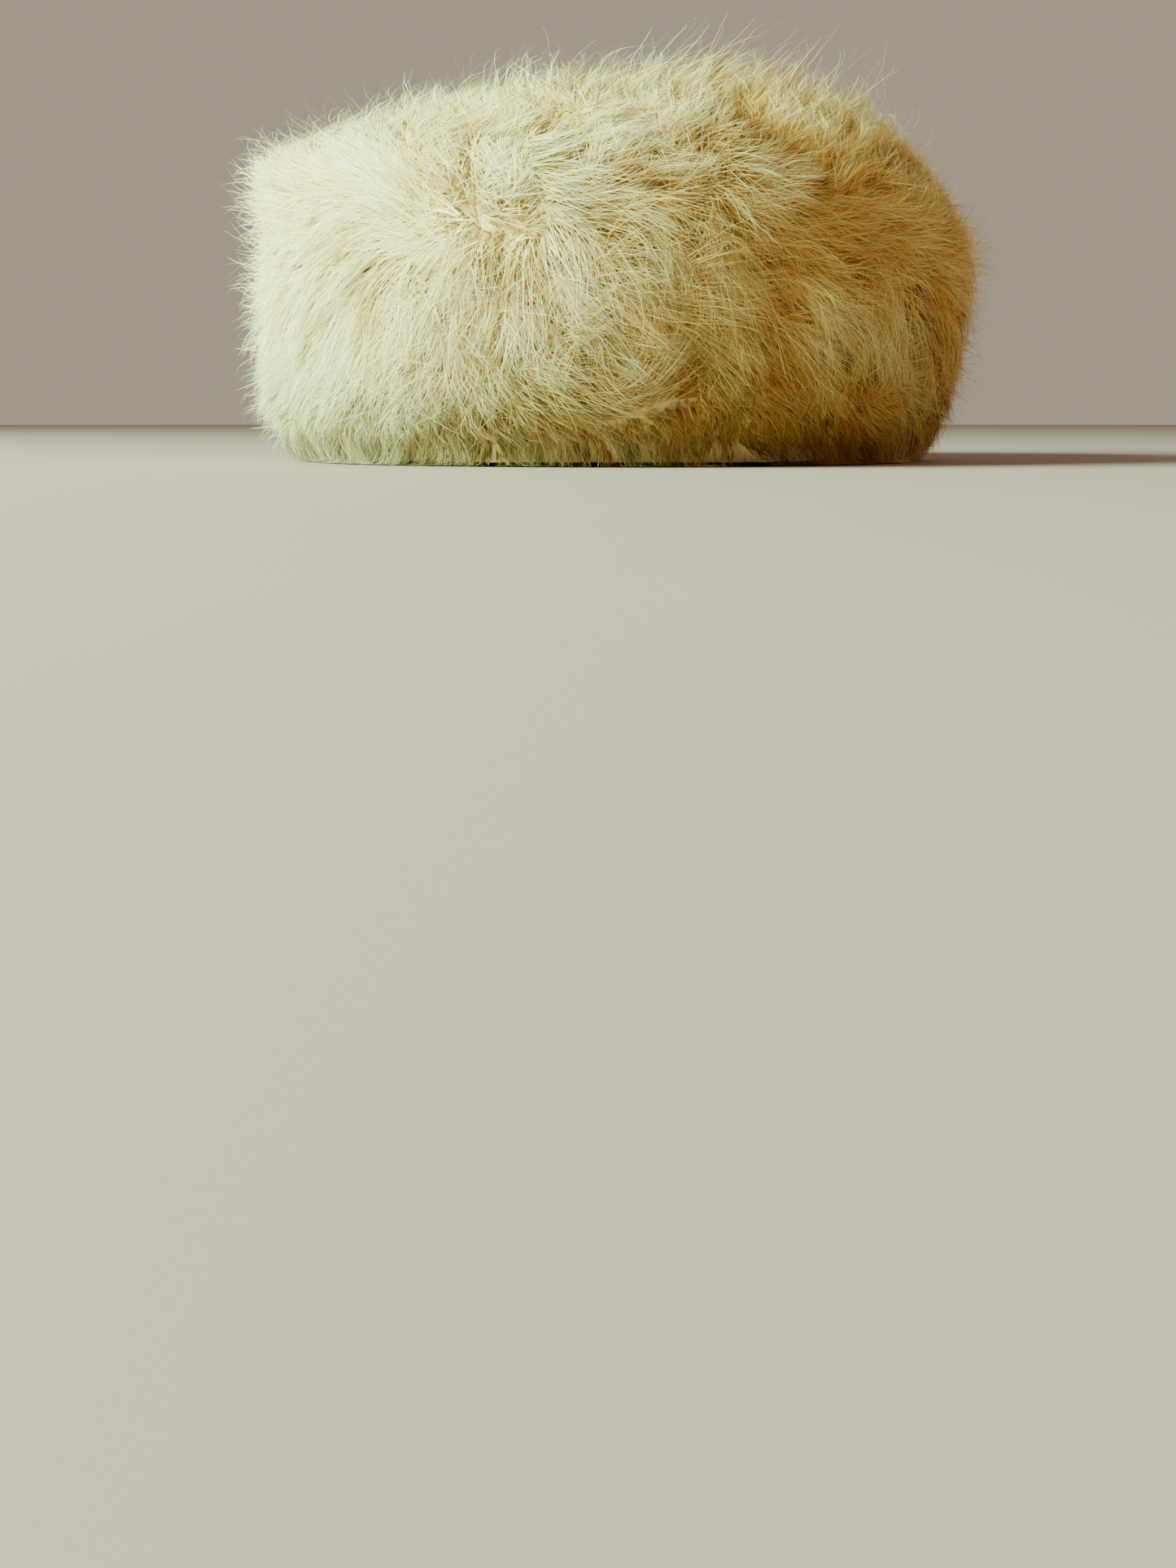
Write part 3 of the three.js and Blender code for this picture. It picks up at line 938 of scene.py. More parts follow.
        fine_along, fine_climb = self._offset(self.fine, fine, angle, share, roots)
        broad_along, broad_climb = self._offset(self.broad, broad, angle, share, roots)
        mound = 1 - (broad_along**2 + broad_climb**2) / self.MOUNDS.radius**2
        mound = np.clip(mound, self.MOUND_FLOOR, 1)
        tuft = np.clip(1 - (fine_along**2 + fine_climb**2) / self.TUFTS.radius**2, -1, 1)
        height = self.MEAN_HEIGHT + mound * (self.MOUND_HEIGHT + self.MOUND_RISE * broad_rise)
        height = height + tuft * self.TUFT_HEIGHT + self.TUFT_RISE * fine_rise
        crest = ramp(share, *self.CREST_SHARES) * np.maximum(fine_rise - self.CREST_RISE, 0)
        tip_depth = coat.tip_depth * (self.LEAST_TIP + self.TIP_CHANCE * rng.random(count)) * height
        tip_depth += crest * min(max(coat.tip_depth - self.CREST_BASE, 0), self.MOST_CREST) * self.CREST_GAIN

        firm = (1 - rng.random(count) ** self.FIRMNESS) * coat.gather
        fine_pull = firm * (self.FINE_PULL + self.FINE_PULL_RUFFLED * np.minimum(ruffle, 1))
        broad_pull = self.BROAD_PULL * firm * ruffle * self.broad.pull[broad]
        back_along = fine_pull * fine_along + broad_pull * broad_along
        back_climb = fine_pull * fine_climb + broad_pull * broad_climb
        arc = self.ARC * settle * ruffle * sweep * np.sin(self.broad.phase[broad])
        phase = self.fine.phase[fine] + rng.normal(0, self.PHASE_SPREAD, count)
        stray = rng.normal(0, 1, (count, 3)) * coat.stray
        points = np.zeros((count, coat.segments + 1, 3))
        normals = np.zeros_like(points)
        for step in range(coat.segments + 1):
            t = step / coat.segments
            ahead = sweep * t**self.SWEEP_CURVE
            wave = coat.wave * ruffle * t * np.sin(phase + self.WAVE_TURNS * t) + arc * t**2
            drawn = t**self.DRAW_CURVE
            step_along = along * ahead - climb * wave - drawn * back_along
            step_climb = climb * ahead + along * wave - drawn * back_climb
            at_angle, at_share = form.drift(angle, share, step_along, step_climb)
            depth = coat.root_depth + (tip_depth - coat.root_depth) * (1 - (1 - t) ** self.RISE_CURVE)
            points[:, step] = form.pile(at_angle, at_share, depth * inset) + stray * t**2
            normals[:, step] = form.sample(form.normal_grid, at_angle, at_share)
        ragged = (self.RAGGED_FINE * fine_rise + self.RAGGED_BROAD * broad_rise) * MM
        self._press(points, np.maximum(self.hang(angle) + ragged, self.FLOOR_CLEARANCE))

        # Painted shade low on the front and right: deeper, more golden hair
        painted_low_shade = self.painted_low_shade(angle, roots)
        # Painted light and shade of the spots, added to each hair's shade
        tone = self.SPOT_LIGHT_AND_SHADE * form.spots(TONE_AND_LIGHT_SPOTS, roots)[0].sum(1)
        # Painted shade: darker hair low on the fringe, most on the left
        painted_shade = self.PAINTED_SHADE_LOW + self.PAINTED_SHADE_LOW_LEFT * fall(np.sin(angle), *self.PAINTED_SHADE_LEFT)
        # Painted shade in the valleys between mounds: deeper, more golden hair
        valley_shade = np.clip(self.VALLEY_SHADE_START - mound, 0, 1) * ruffle
        gold = self.gold(angle, roots) + self.LOW_SHADE_GOLD * painted_low_shade + self.VALLEY_SHADE_GOLD * valley_shade
        gold = gold + self.MOUND_GOLD * broad_rise
        # The tuft term is painted light: middles of tufts less golden
        gold += self.PHASE_GOLD * np.sin(self.fine.phase[fine]) + self.TUFT_LIGHT_GOLD * tuft
        tilt = np.clip((roots - self.fine.points[fine]) / self.TUFTS.radius, -1, 1)
        lean = np.clip((roots - self.broad.points[broad]) / self.MOUNDS.radius, -1, 1)
        tilt = self.TILT * (tilt + self.MOUND_TILT * lean)
        # Painted shade keeps low hair and valley hair deeper in colour up to the tips
        pale = coat.pale * (1 + self.LOW_SHADE_PALE * painted_low_shade) * (1 + self.VALLEY_SHADE_PALE * valley_shade)
        return Hairs(
            points=points,
            normals=unit(normals + tilt[:, None, :]),
            gold=np.clip(gold * (self.GOLD_GAIN + self.GOLD_GAIN_PALE * coat.pale), 0, 1),
            chance=rng.random(count) + tone - painted_shade * fall(roots[:, 2], *self.PAINTED_SHADE_HEIGHTS),
            width=coat.width * rng.uniform(*self.HAIR_WIDTHS, count),
            roll=rng.normal(0, self.ROLL_SPREAD, count),
            # Painted light makes the middles of tufts paler
            pale=pale * (self.TUFT_LIGHT_BASE + self.TUFT_LIGHT_PALE * tuft),
            round=coat.round,
        )


class StrandMesh:
    """Collects tapered hair ribbons into one mesh."""

    # Width along a hair, as shares of its width at the root
    TAPER_PLACES = (0, 0.5, 1)
    TAPER_WIDTHS = (1.0, 0.75, 0.1)

    # The part of its cell of the bake map that a hair fills: along it and across it
    MAP_ALONG = (0.06, 0.94)
    MAP_ACROSS = (0.15, 0.85)

    def __init__(self) -> None:
        """Starts with no hairs."""
        self.points: list[np.ndarray] = []
        self.normals: list[np.ndarray] = []
        self.tones: list[np.ndarray] = []
        self.maps: list[np.ndarray] = []
        self.loops: list[np.ndarray] = []
        self.sizes: list[np.ndarray] = []
        self.count = 0

    def add(self, hairs: Hairs, seat: tuple[float, float]) -> None:
        """Adds hairs of one kind.

        Args:
            hairs: The hairs.
            seat: The stretch of the bake map that they fill, from 0 to 1.
        """
        points, normals = hairs.points, hairs.normals
        count, rings = points.shape[:2]
        forward = unit(np.gradient(points, axis=1))
        reach = points[:, -1] - points[:, 0] + 1e-5
        side = unit(np.cross(reach, normals[:, rings // 2]))[:, None, :]
        side = unit(side - (side * forward).sum(2, keepdims=True) * forward)
        upright = unit(np.cross(side, forward))
        roll = hairs.roll[:, None, None]
        across = np.cos(roll) * side + np.sin(roll) * upright
        t = np.linspace(0, 1, rings)
        taper = np.interp(t, self.TAPER_PLACES, self.TAPER_WIDTHS)[None, :, None]
        half = hairs.width[:, None, None] / 2 * taper * across
        vertices = np.stack([points - half, points + half], axis=2).reshape(count, -1, 3)
        lean = hairs.round * across
        shading = np.stack([unit(normals - lean), unit(normals + lean)], axis=2)
        vertices[:, -2] = points[:, -1]
        keep = 2 * rings - 1
        self.points.append(vertices[:, :keep].reshape(-1, 3))
        self.normals.append(shading.reshape(count, -1, 3)[:, :keep].reshape(-1, 3))
        tone = np.zeros((count, 2 * rings, 4))
        tone[:, :, 0] = np.repeat(t, 2) * hairs.pale[:, None]
        tone[:, :, 1] = hairs.chance[:, None]
        tone[:, :, 2] = hairs.gold[:, None]
        tone[:, :, 3] = 1
        self.tones.append(tone[:, :keep].reshape(-1, 4))
        self.maps.append(self._map(count, rings, seat)[:, :keep].reshape(-1, 2))
        first = self.count + keep * np.arange(count)[:, None]
        quads = [np.array([2 * k, 2 * k + 1, 2 * k + 3, 2 * k + 2]) for k in range(rings - 2)]
        corners = np.concatenate([*quads, np.array([keep - 3, keep - 2, keep - 1])])
        self.loops.append((first + corners[None, :]).ravel())
        self.sizes.append(np.tile([4] * (rings - 2) + [3], count))
        self.count += keep * count

    def _map(self, count: int, rings: int, seat: tuple[float, float]) -> np.ndarray:
        """Gives each hair its own upright cell of the bake map.

        Args:
            count: How many hairs.
            rings: Rings of points on each hair.
            seat: The stretch of the map that they fill.

        Returns:
            The map's places, by hair and by point.
        """
        rows = max(1, int(math.sqrt(count) / 2))
        columns = math.ceil(count / rows)
        column, row = np.arange(count) % columns, np.arange(count) // columns
        t = np.repeat(np.linspace(*self.MAP_ALONG, rings), 2)
        edge = np.tile(self.MAP_ACROSS, rings)
        u = (column[:, None] + edge[None, :]) / columns
        v = seat[0] + (seat[1] - seat[0]) * (row[:, None] + t[None, :]) / rows
        return np.stack([u, v], axis=2)

    def build(self, name: str, material: bpy.types.Material) -> bpy.types.Object:
        """Makes the mesh.

        Args:
            name: The piece's name.
            material: Its finish.

        Returns:
            The piece.
        """
        points, loops, sizes = (np.concatenate(part) for part in (self.points, self.loops, self.sizes))
        piece = mesh_object(name, points, loops, sizes)
        mesh = piece.data
        mesh.materials.append(material)
        mesh.normals_split_custom_set_from_vertices(np.concatenate(self.normals).astype(np.float32))
        tone = mesh.color_attributes.new("strand", "FLOAT_COLOR", "POINT")
        tone.data.foreach_set("color", np.concatenate(self.tones).astype(np.float32).ravel())
        places = np.concatenate(self.maps)[loops]
        mesh.uv_layers.new(name="OFBake").data.foreach_set("uv", places.astype(np.float32).ravel())
        return piece


def mesh_object(name: str, points: np.ndarray, loops: np.ndarray, sizes: np.ndarray) -> bpy.types.Object:
    """Makes a smooth mesh object from arrays.

    Args:
        name: The object's name.
        points: Vertices, in metres.
        loops: Vertex numbers of all faces, one face after the other.
        sizes: How many corners each face has.

    Returns:
        The object, linked to the scene.
    """
    mesh = bpy.data.meshes.new(name)
    mesh.vertices.add(len(points))
    mesh.vertices.foreach_set("co", points.astype(np.float32).ravel())
    mesh.loops.add(len(loops))
    mesh.loops.foreach_set("vertex_index", loops.astype(np.int32))
    mesh.polygons.add(len(sizes))
    starts = np.concatenate([[0], np.cumsum(sizes)[:-1]])
    mesh.polygons.foreach_set("loop_start", starts.astype(np.int32))
    mesh.update(calc_edges=True)
    mesh.shade_smooth()
    piece = bpy.data.objects.new(name, mesh)
    bpy.context.scene.collection.objects.link(piece)
    return piece


class NodeSheet:
    """Short ways to lay out a shader node tree."""

    def __init__(self, tree: bpy.types.NodeTree) -> None:
        """Keeps the tree."""
        self.tree = tree

    def add(self, kind: str, **values: object) -> bpy.types.Node:
        """Adds a node.

        Args:
            kind: The node's type, without the ShaderNode prefix.
            **values: Properties of the node, or inputs by their names with _ for spaces.

        Returns:
            The node.
        """
        node = self.tree.nodes.new("ShaderNode" + kind)
        for key, value in values.items():
            if key in node.bl_rna.properties:
                setattr(node, key, value)
            else:
                self.feed(node.inputs[key.replace("_", " ")], value)
        return node

    def feed(self, socket: bpy.types.NodeSocket, value: object) -> None:
        """Links an input to another socket, or sets it to a constant.

        Args:
            socket: The input.
            value: The other socket, or the constant.
        """
        if isinstance(value, bpy.types.NodeSocket):
            self.tree.links.new(value, socket)
        else:
            socket.default_value = value

    def mix(
        self, factor: object, first: object, second: object, blend: str = "MIX"
    ) -> bpy.types.NodeSocket:
        """Mixes two colours.

        Args:
            factor: Socket or number.
            first: Socket or colour.
            second: Socket or colour.
            blend: Kind of mix.

        Returns:
            The mixed colour.
        """
        node = self.tree.nodes.new("ShaderNodeMix")
        node.data_type = "RGBA"
        node.blend_type = blend
        for index, value in ((0, factor), (6, first), (7, second)):
            self.feed(node.inputs[index], value)
        return node.outputs[2]


class GroupSheet(NodeSheet):
    """A node group with named inputs and outputs."""

    def __init__(self, name: str, inputs: dict[str, object], outputs: dict[str, str]) -> None:
        """Makes the group and its sockets.

        Args:
            name: The group's name.
            inputs: Default of each input: a number, a colour, or None for a vector.
            outputs: Kind of each output, Color or Float.
        """
        super().__init__(bpy.data.node_groups.new(name, "ShaderNodeTree"))
        sockets = self.tree.interface
        for title, default in inputs.items():
            kind = {float: "Float", tuple: "Color"}.get(type(default), "Vector")
            socket = sockets.new_socket(title, in_out="INPUT", socket_type="NodeSocket" + kind)
            if default is not None:
                socket.default_value = default
        for title, kind in outputs.items():
            sockets.new_socket(title, in_out="OUTPUT", socket_type="NodeSocket" + kind)
        self.inputs = self.tree.nodes.new("NodeGroupInput").outputs
        self.outputs = self.tree.nodes.new("NodeGroupOutput").inputs


def rgb(red: int, green: int, blue: int) -> tuple[float, float, float, float]:
    """A display colour, 0 to 255 a channel, as a shader colour."""
    linear = [((c / 255 + 0.055) / 1.055) ** 2.4 if c > 10 else c / 255 / 12.92 for c in (red, green, blue)]
    return (*linear, 1.0)


@dataclass(frozen=True)
class PileTone:
    """The pile's colour from root to tip, as a node group.

    Attributes:
        pale_root: Colour of pale hair at the root.
        pale_tip: Colour of pale hair at the tip.
        amber_root: Colour of golden hair at the root.
        amber_tip: Colour of golden hair at the tip.
        rise_start: Share of a hair's length up to which it keeps its root's colour.
        rise_end: Share of its length from which it has its tip's colour.
        least_chance: The chance that gives the deepest shade.
        deepest: The deepest shade, as a factor on the colour.
        brightest: The brightest shade, where the chance is 1.
    """

    pale_root: tuple[int, int, int] = (230, 206, 116)
    pale_tip: tuple[int, int, int] = (251, 251, 200)
    amber_root: tuple[int, int, int] = (200, 141, 50)
    amber_tip: tuple[int, int, int] = (242, 203, 112)
    rise_start: float = 0.15
    rise_end: float = 0.9
    least_chance: float = -1.0
    deepest: float = 0.46
    brightest: float = 1.1

    def group(self) -> bpy.types.NodeTree:
        """Builds the group once.

        Returns:
            The group, with the inputs Height, Chance and Gold and the output Colour.
        """
        built = bpy.data.node_groups.get("pile_tone")
        if built:
            return built
        group = GroupSheet("pile_tone", {"Height": 0.5, "Chance": 0.5, "Gold": 0.4}, {"Colour": "Color"})
        height, chance, gold = (group.inputs[title] for title in ("Height", "Chance", "Gold"))
        rise = group.add("MapRange", Value=height, From_Min=self.rise_start, From_Max=self.rise_end)
        pale = group.mix(rise.outputs["Result"], rgb(*self.pale_root), rgb(*self.pale_tip))
        amber = group.mix(rise.outputs["Result"], rgb(*self.amber_root), rgb(*self.amber_tip))
        shade = group.add(
            "MapRange",
            Value=chance,
            From_Min=self.least_chance,
            To_Min=self.deepest,
            To_Max=self.brightest,
        )
        colour = group.mix(1.0, group.mix(gold, pale, amber), shade.outputs["Result"], "MULTIPLY")
        group.feed(group.outputs["Colour"], colour)
        return group.tree


class GrainTone:
    """A cloudy colour with a fine grain over it, and the grain's relief, as a node group."""

    # What its inputs start with: grains to a metre, their detail and their weight
    SCALE = 1000.0
    DETAIL = 3.0
    WEIGHT = 0.25

    def group(self) -> bpy.types.NodeTree:
        """Builds the group once.

        Returns:
            The group, with the inputs Vector, Cloud Scale, Cloud Detail, Grain Scale, Grain Detail,
            Grain Weight, Dark and Light, and the outputs Colour and Relief.
        """
        built = bpy.data.node_groups.get("grain_tone")
        if built:
            return built
        inputs = {
            "Vector": None,
            "Cloud Scale": self.SCALE,
            "Cloud Detail": self.DETAIL,
            "Grain Scale": self.SCALE,
            "Grain Detail": self.DETAIL,
            "Grain Weight": self.WEIGHT,
            "Dark": rgb(0, 0, 0),
            "Light": rgb(255, 255, 255),
        }
        group = GroupSheet("grain_tone", inputs, {"Colour": "Color", "Relief": "Float"})
        place, *scales, weight, dark, light = (group.inputs[title] for title in inputs)
        cloud = group.add("TexNoise", Vector=place, Scale=scales[0], Detail=scales[1])
        grain = group.add("TexNoise", Vector=place, Scale=scales[2], Detail=scales[3])
        tone = group.mix(cloud.outputs["Fac"], dark, light)
        group.feed(group.outputs["Colour"], group.mix(weight, tone, grain.outputs["Color"], "OVERLAY"))
        group.feed(group.outputs["Relief"], grain.outputs["Fac"])
        return group.tree


class Finish:
    """A material with one Principled shader."""

    SHEEN_ROUGHNESS = 0.4
    WHITE = (1.0, 1.0, 1.0, 1.0)

    def __init__(
        self,
        name: str,
        roughness: float,
        sheen: float = 0.0,
        tint: tuple[float, float, float, float] = WHITE,
    ) -> None:
        """Makes the material.

        Args:
            name: The material's name.
            roughness: Its roughness.
            sheen: Weight of its sheen.
            tint: Colour of its sheen.
        """
        self.material = bpy.data.materials.new(name)
        self.material.use_nodes = True
        self.sheet = NodeSheet(self.material.node_tree)
        self.shader = self.material.node_tree.nodes["Principled BSDF"]
        self.shader.inputs["Roughness"].default_value = roughness
        self.shader.inputs["Sheen Weight"].default_value = sheen
        self.shader.inputs["Sheen Roughness"].default_value = self.SHEEN_ROUGHNESS
        self.shader.inputs["Sheen Tint"].default_value = tint

    def colour(self, socket: bpy.types.NodeSocket) -> None:
        """Feeds the base colour."""
        self.sheet.feed(self.shader.inputs["Base Color"], socket)

    def bump(self, height: bpy.types.NodeSocket, distance: float, strength: float = 1.0) -> None:
        """Feeds the normal with a bump.

        Args:
            height: The relief, from 0 to 1.
            distance: Its depth in metres.
            strength: How strongly it shows.
        """
        node = self.sheet.add("Bump", Height=height, Distance=distance, Strength=strength)
        self.sheet.feed(self.shader.inputs["Normal"], node.outputs["Normal"])


class HairFinish(Finish):
    """Fine silky hair, golden at the root and cream at the tip."""

    SHINE = 0.35

    def __init__(self) -> None:
        """Builds the finish."""
        super().__init__("cream_hair", 0.6)
        strand = self.sheet.add("Attribute", attribute_name="strand")
        parts = self.sheet.add("SeparateColor", Color=strand.outputs["Color"]).outputs
        tone = self.sheet.add(
            "Group",
            node_tree=PileTone().group(),
            Height=parts["Red"],
            Chance=parts["Green"],
            Gold=parts["Blue"],
        )
        self.colour(tone.outputs["Colour"])
        self.shader.inputs["Specular IOR Level"].default_value = self.SHINE


class DownFinish(Finish):
    """Dense golden down, seen between the locks."""

    # Fibres to a metre in x, y and z, how far up a hair the down's colour is taken from, and its relief
    FIBRES = (900.0, 900.0, 260.0)
    HEIGHT = 0.45
    RELIEF = 0.8 * MM

    def __init__(self) -> None:
        """Builds the finish."""
        super().__init__("golden_down", 0.95, 0.4, rgb(255, 236, 190))
        place = self.sheet.add("TexCoord").outputs["Object"]
        stretch = self.sheet.add("Mapping", Vector=place, Scale=self.FIBRES)
        fibre = self.sheet.add("TexNoise", Vector=stretch.outputs["Vector"], Scale=1.0, Detail=4.0)
        chance = fibre.outputs["Fac"]
        tone = self.sheet.add("Group", node_tree=PileTone().group(), Height=self.HEIGHT, Chance=chance)
        self.colour(tone.outputs["Colour"])
        self.bump(chance, self.RELIEF)


class SuedeFinish(Finish):
    """The pelts' bare inner side: pale, dry hide."""

    RELIEF = 0.15 * MM

    def __init__(self) -> None:
        """Builds the finish."""
        super().__init__("pale_hide", 0.9, 0.2, rgb(255, 245, 225))
        grain = self.sheet.add(
            "Group",
            node_tree=GrainTone().group(),
            Vector=self.sheet.add("TexCoord").outputs["Object"],
            Cloud_Scale=45.0,
            Cloud_Detail=5.0,
            Grain_Scale=1400.0,
            Grain_Detail=3.0,
            Grain_Weight=0.25,
            Dark=rgb(206, 184, 150),
            Light=rgb(228, 212, 184),
        )
        self.colour(grain.outputs["Colour"])
        self.bump(grain.outputs["Relief"], self.RELIEF)


class BandFinish(Finish):
    """Brown ribbed ribbon."""

    RELIEF = 0.08 * MM

    def __init__(self) -> None:
        """Builds the finish."""
        super().__init__("brown_ribbon", 0.8, 0.3, rgb(190, 150, 110))
        grain = self.sheet.add(
            "Group",
            node_tree=GrainTone().group(),
            Vector=self.sheet.add("TexCoord").outputs["Object"],
            Cloud_Scale=60.0,
            Cloud_Detail=4.0,
            Grain_Scale=2600.0,
            Grain_Detail=2.0,
            Grain_Weight=0.3,
            Dark=rgb(66, 46, 30),
            Light=rgb(98, 72, 48),
        )
        self.colour(grain.outputs["Colour"])
        self.bump(grain.outputs["Relief"], self.RELIEF)


@dataclass
class Pelt:
    """One pelt: its hide, its down and its pile of hair.

    Attributes:
        plan: Where it lies.
        down_depth: Share of the pile's depth that the down fills.
        angle_steps: Sections of the hide round the hat, for a whole turn.
        share_steps: Sections of the hide up the profile, for its whole length.
    """

    plan: PeltPlan
    down_depth: float = 0.58
    angle_steps: int = 160
    share_steps: int = 48

    # The down's lower edge: its height above the surface, and the share up to which the down is drawn to it
    EDGE_HEIGHT = 1.4 * MM
    EDGE_SHARE = 0.02

    # The crown's hide ends in one flat face just short of the top
    TOP_SHARE = 0.99

    # Low swells of the down, as a share of the pile's depth
    SWELL = 0.05
    SWELLS = (Wave(1.0, 31, 40), Wave(1.0, -23, 47))

    def build(self, fur: Fur, finishes: dict[str, bpy.types.Material]) -> list[bpy.types.Object]:
        """Builds and seats the pelt's pieces.

        Args:
            fur: Grows the hair.
            finishes: The materials by name.

        Returns:
            The pieces.
        """
        hide = self._hide(fur.form, finishes)
        pile = self._pile(fur, finishes)
        for piece in (hide, pile):
            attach(piece, BODY)
            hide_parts(self.plan.node)
        return [hide, pile]

    def _hide(self, form: HatForm, finishes: dict[str, bpy.types.Material]) -> bpy.types.Object:
        """Builds the hide with its down as one closed wall.

        Args:
            form: The hat's form.
            finishes: The materials by name.

        Returns:
            The piece.
        """
        first, last = self.plan.angles()
        low, high = self.plan.shares()
        columns = max(3, round(self.angle_steps * (last - first) / TURN)) + 1
        rows = max(3, round(self.share_steps * (high - low))) + 1
        top = min(high, self.TOP_SHARE)
        angles = np.linspace(first, last, columns)
        shares = np.linspace(low, top, rows)
        angle, share = (grid.ravel() for grid in np.meshgrid(angles, shares, indexing="ij"))
        swell = self.SWELL * self.SWELLS[0].at(angle, share) * self.SWELLS[1].at(angle, share)
        outer = form.pile(angle, share, self.down_depth + swell)
        edge = form.pile(angle, np.zeros_like(angle), np.full_like(angle, self.down_depth))[:, 2]
        outer[:, 2] -= (edge - self.EDGE_HEIGHT) * (1 - ramp(share, 0.0, self.EDGE_SHARE))
        outer[:, 2] = np.maximum(outer[:, 2], Fur.FLOOR_CLEARANCE)
        inner = form.skin(angle, share, HatForm.SKIN_WALL)
        points = np.concatenate([outer, inner])
        grid = np.arange(columns * rows).reshape(columns, rows)
        faces = [quads(grid), quads((grid + columns * rows)[::-1])]
        faces.append(quads(np.stack([grid[:, 0] + columns * rows, grid[:, 0]], axis=1)))
        kinds = [0, 1, 0]
        if self.plan.seam is None:
            faces.append([grid[:-1, -1]])
            faces.append([grid[:-1, -1][::-1] + columns * rows])
            kinds += [0, 1]
        else:
            faces.append(quads(np.stack([grid[:, -1], grid[:, -1] + columns * rows], axis=1)))
            faces.append(quads(np.stack([grid[0] + columns * rows, grid[0]], axis=0)))
            faces.append(quads(np.stack([grid[-1], grid[-1] + columns * rows], axis=0)))
            kinds += [1, 1, 1]
        loops = np.concatenate([np.concatenate(group) for group in faces])
        sizes = np.concatenate([[len(face) for face in group] for group in faces])
        piece = mesh_object(self.plan.node + "_hide", points, loops, sizes)
        piece.data.materials.append(finishes["down"])
        piece.data.materials.append(finishes["hide"])
        slots = np.concatenate([np.full(len(group), kind) for group, kind in zip(faces, kinds)])
        piece.data.polygons.foreach_set("material_index", slots.astype(np.int32))
        return piece

    def _pile(self, fur: Fur, finishes: dict[str, bpy.types.Material]) -> bpy.types.Object:
        """Grows the pelt's hair.

        Args:
            fur: Grows the hair.
            finishes: The materials by name.

        Returns:
            The piece.
        """
        strands = StrandMesh()
        seat = 0.0
        for kind in Coats:
            coat = kind.value
            count = round(self.plan.density * coat.count)
            angle, share = fur.scatter(count, self.plan.angles(), self.plan.shares())
            part = coat.count / sum(other.value.count for other in Coats)
            strands.add(fur.grow(coat, angle, share), (seat, seat + part))
            seat += part
        return strands.build(self.plan.node + "_pile", finishes["hair"])


def quads(grid: np.ndarray) -> list[np.ndarray]:
    """Four-cornered faces between the neighbours of a grid of vertex numbers."""
    corners = np.stack([grid[:-1, :-1], grid[1:, :-1], grid[1:, 1:], grid[:-1, 1:]], axis=-1)
    return list(corners.reshape(-1, 4))


@dataclass
class RimBand:
    """The ribbed ribbon round the head opening.

    Attributes:
        ribs: How many ribs it has round its length.
        rib_depth: How far they stand out, in metres.
        rows: Sections up its height.
        wall: Its thickness, in metres.
    """

    ribs: int = 280
    rib_depth: float = 0.16 * MM
    rows: int = 6
    wall: float = 1.2 * MM

    # How far its edges are rounded, as a share of its thickness, and how deep the ribs are on each face
    ROUNDING = 0.3
    OUTER_RELIEF = 0.6
    INNER_RELIEF = -1.0

    def build(self, material: bpy.types.Material) -> bpy.types.Object:
        """Builds and seats the band.

        Args:
            material: Its finish.

        Returns:
            The piece.
        """
        low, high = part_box("rim_band")
        centre = (low + high) / 2
        half_width, half_length = (high.x - low.x) / 2, (high.y - low.y) / 2
        columns = 2 * self.ribs
        angle = np.arange(columns) / columns * TURN
        rib = self.rib_depth * (np.arange(columns) % 2)
        path = self._section(low.z, high.z)
        points = []
        for inset, height, relief in path:
            inward = inset + rib * relief
            x = centre.x + (half_width - inward) * np.sin(angle)
            y = centre.y - (half_length - inward) * np.cos(angle)
            points.append(np.stack([x, y, np.full(columns, height)], axis=1))
        grid = np.arange(columns * len(path)).reshape(len(path), columns).T
        grid = np.concatenate([grid, grid[:1]])
        grid = np.concatenate([grid, grid[:, :1]], axis=1)
        faces = quads(grid)
        loops, sizes = np.concatenate(faces), np.full(len(faces), 4)
        piece = mesh_object("rim_band_ribbon", np.concatenate(points), loops, sizes)
        piece.data.materials.append(material)
        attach(piece, BODY)
        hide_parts("rim_band")
        return piece

    def _section(self, low: float, high: float) -> list[tuple[float, float, float]]:
        """The band's cross section.

        Args:
            low: Height of its lower edge.
            high: Height of its upper edge.

        Returns:
            Inset, height and share of the ribs' depth of each corner, up the outer face, down the inner one.
        """
        edge = self.ROUNDING * self.wall
        inner_edge = self.wall - edge
        heights = np.linspace(low + edge, high - edge, self.rows)
        outer = [(0.0, height, self.OUTER_RELIEF) for height in heights]
        inner = [(self.wall, height, self.INNER_RELIEF) for height in heights[::-1]]
        top = [(edge, high, 0.0), (inner_edge, high, 0.0)]
        return [(edge, low, 0.0), *outer, *top, *inner, (inner_edge, low, 0.0)]


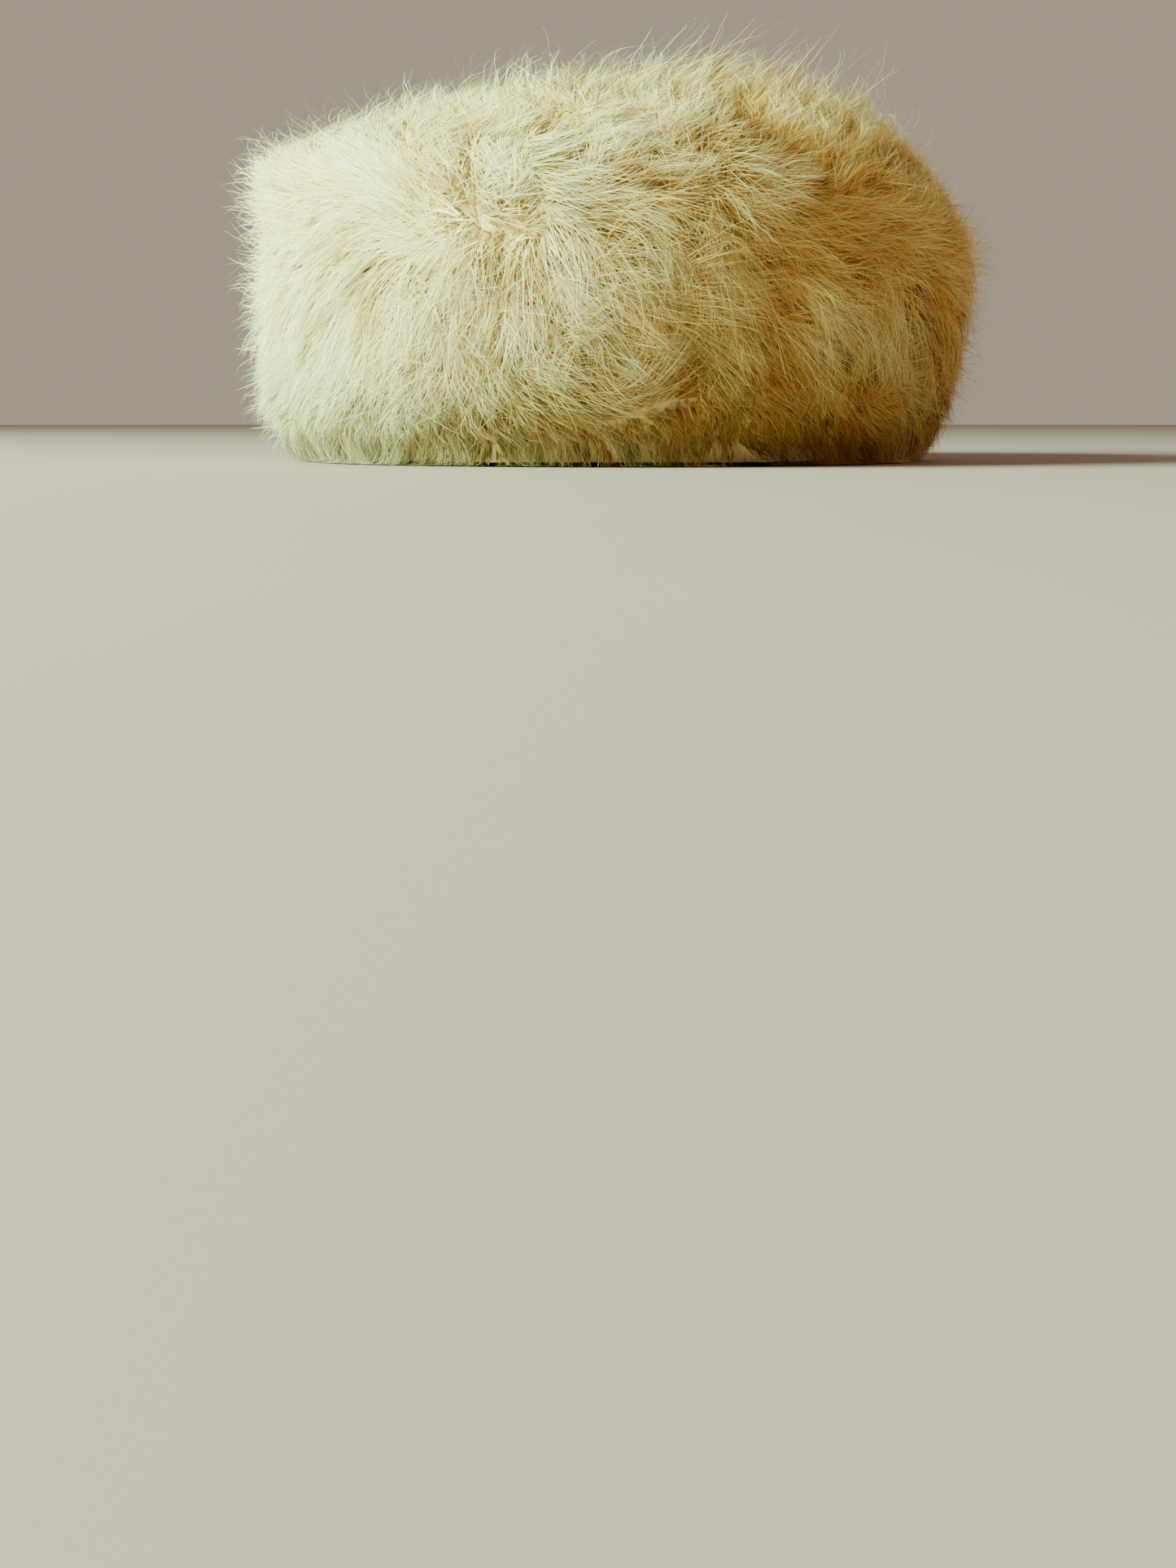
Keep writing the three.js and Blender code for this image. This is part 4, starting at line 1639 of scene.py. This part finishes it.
@dataclass(frozen=True)
class Shot:
    """The camera: the photo's view, raised just above the surface.

    Attributes:
        width: Width of the photo's frame, in its pixels.
        height: Height of the frame.
        focal: Focal length in the same pixels.
        aim_x: Where the hat's middle stands in the frame.
        aim_y: The same, down from the top.
        eye: Height of the camera above the surface, in metres.
        distance: Distance from the hat's axis.
        middle: Height of the hat's middle.
    """

    width: int = 1445
    height: int = 1927
    focal: float = 2894.0
    aim_x: float = 750.0
    aim_y: float = 327.0
    eye: float = 14 * MM
    distance: float = 0.75
    middle: float = 60 * MM

    SENSOR_HEIGHT = 24.0
    CLIP_START = 0.01

    def place(self) -> None:
        """Sets up the camera."""
        data = bpy.data.cameras.new("camera")
        data.sensor_fit = "VERTICAL"
        data.sensor_height = self.SENSOR_HEIGHT
        data.lens = self.focal / self.height * data.sensor_height
        data.clip_start = self.CLIP_START
        camera = bpy.data.objects.new("camera", data)
        bpy.context.scene.collection.objects.link(camera)
        rise = math.atan2(self.middle - self.eye, self.distance)
        pitch = rise - math.atan2(self.height / 2 - self.aim_y, self.focal)
        yaw = math.atan2(self.aim_x - self.width / 2, self.focal)
        camera.location = (0.0, -self.distance, self.eye)
        camera.rotation_euler = (math.pi / 2 + pitch, 0.0, yaw)
        bpy.context.scene.camera = camera


@dataclass(frozen=True)
class Lamp:
    """A soft studio light that points at the hat.

    Attributes:
        name: Its name.
        place: Where it stands, in metres.
        size: Width of its square face.
        power: Its power in watts.
        colour: Its colour.
    """

    name: str
    place: tuple[float, float, float]
    size: float
    power: float
    colour: tuple[float, float, float]

    AIM = (0.0, 0.0, 0.05)

    def build(self) -> None:
        """Sets up the light."""
        data = bpy.data.lights.new(self.name, "AREA")
        data.size = self.size
        data.energy = self.power
        data.color = self.colour
        lamp = bpy.data.objects.new(self.name, data)
        lamp.location = self.place
        lamp.rotation_euler = (Vector(self.AIM) - Vector(self.place)).to_track_quat("-Z", "Y").to_euler()
        bpy.context.scene.collection.objects.link(lamp)


class Studio:
    """Floor, lights and camera."""

    LAMPS = (
        Lamp("window", (-1.4, -0.6, 0.82), 1.0, 216.0, (0.66, 1.0, 0.79)),
        Lamp("lamp", (1.1, -0.75, 0.4), 0.8, 3.0, (1.0, 0.78, 0.42)),
    )
    FLOOR_RADIUS = 3.0
    FLOOR_STEPS = 96
    WALLS = (0.42, 0.35, 0.27, 1.0)

    def build(self) -> None:
        """Sets up the studio."""
        self._floor()
        self._world()
        for lamp in self.LAMPS:
            lamp.build()
        Shot().place()

    def _floor(self) -> None:
        """Lays the floor."""
        corners = np.arange(self.FLOOR_STEPS)
        points = round_way(corners / self.FLOOR_STEPS * TURN) * self.FLOOR_RADIUS
        floor = mesh_object("floor", points, corners, np.array([self.FLOOR_STEPS]))
        finish = Finish("pale_floor", 0.75)
        place = finish.sheet.add("TexCoord").outputs["Object"]
        cloud = finish.sheet.add("TexNoise", Vector=place, Scale=3.0, Detail=3.0)
        finish.colour(finish.sheet.mix(cloud.outputs["Fac"], rgb(152, 128, 116), rgb(158, 135, 123)))
        floor.data.materials.append(finish.material)

    def _world(self) -> None:
        """Lights the room softly in the colour of its walls."""
        world = bpy.data.worlds.new("room")
        world.use_nodes = True
        world.node_tree.nodes["Background"].inputs["Color"].default_value = self.WALLS
        bpy.context.scene.world = world


def main() -> None:
    """Builds the hat's looks piece by piece."""
    logging.basicConfig(level=logging.INFO, format="%(name)s: %(message)s")
    form = HatForm()
    fur = Fur(form)
    finishes = {
        "hair": HairFinish().material,
        "down": DownFinish().material,
        "hide": SuedeFinish().material,
        "band": BandFinish().material,
    }
    for plan in PELTS:
        for piece in Pelt(plan).build(fur, finishes):
            LOG.info("%s: %d faces", piece.name, len(piece.data.polygons))
    band = RimBand().build(finishes["band"])
    LOG.info("%s: %d faces", band.name, len(band.data.polygons))
    Studio().build()


if __name__ == "__main__":
    main()
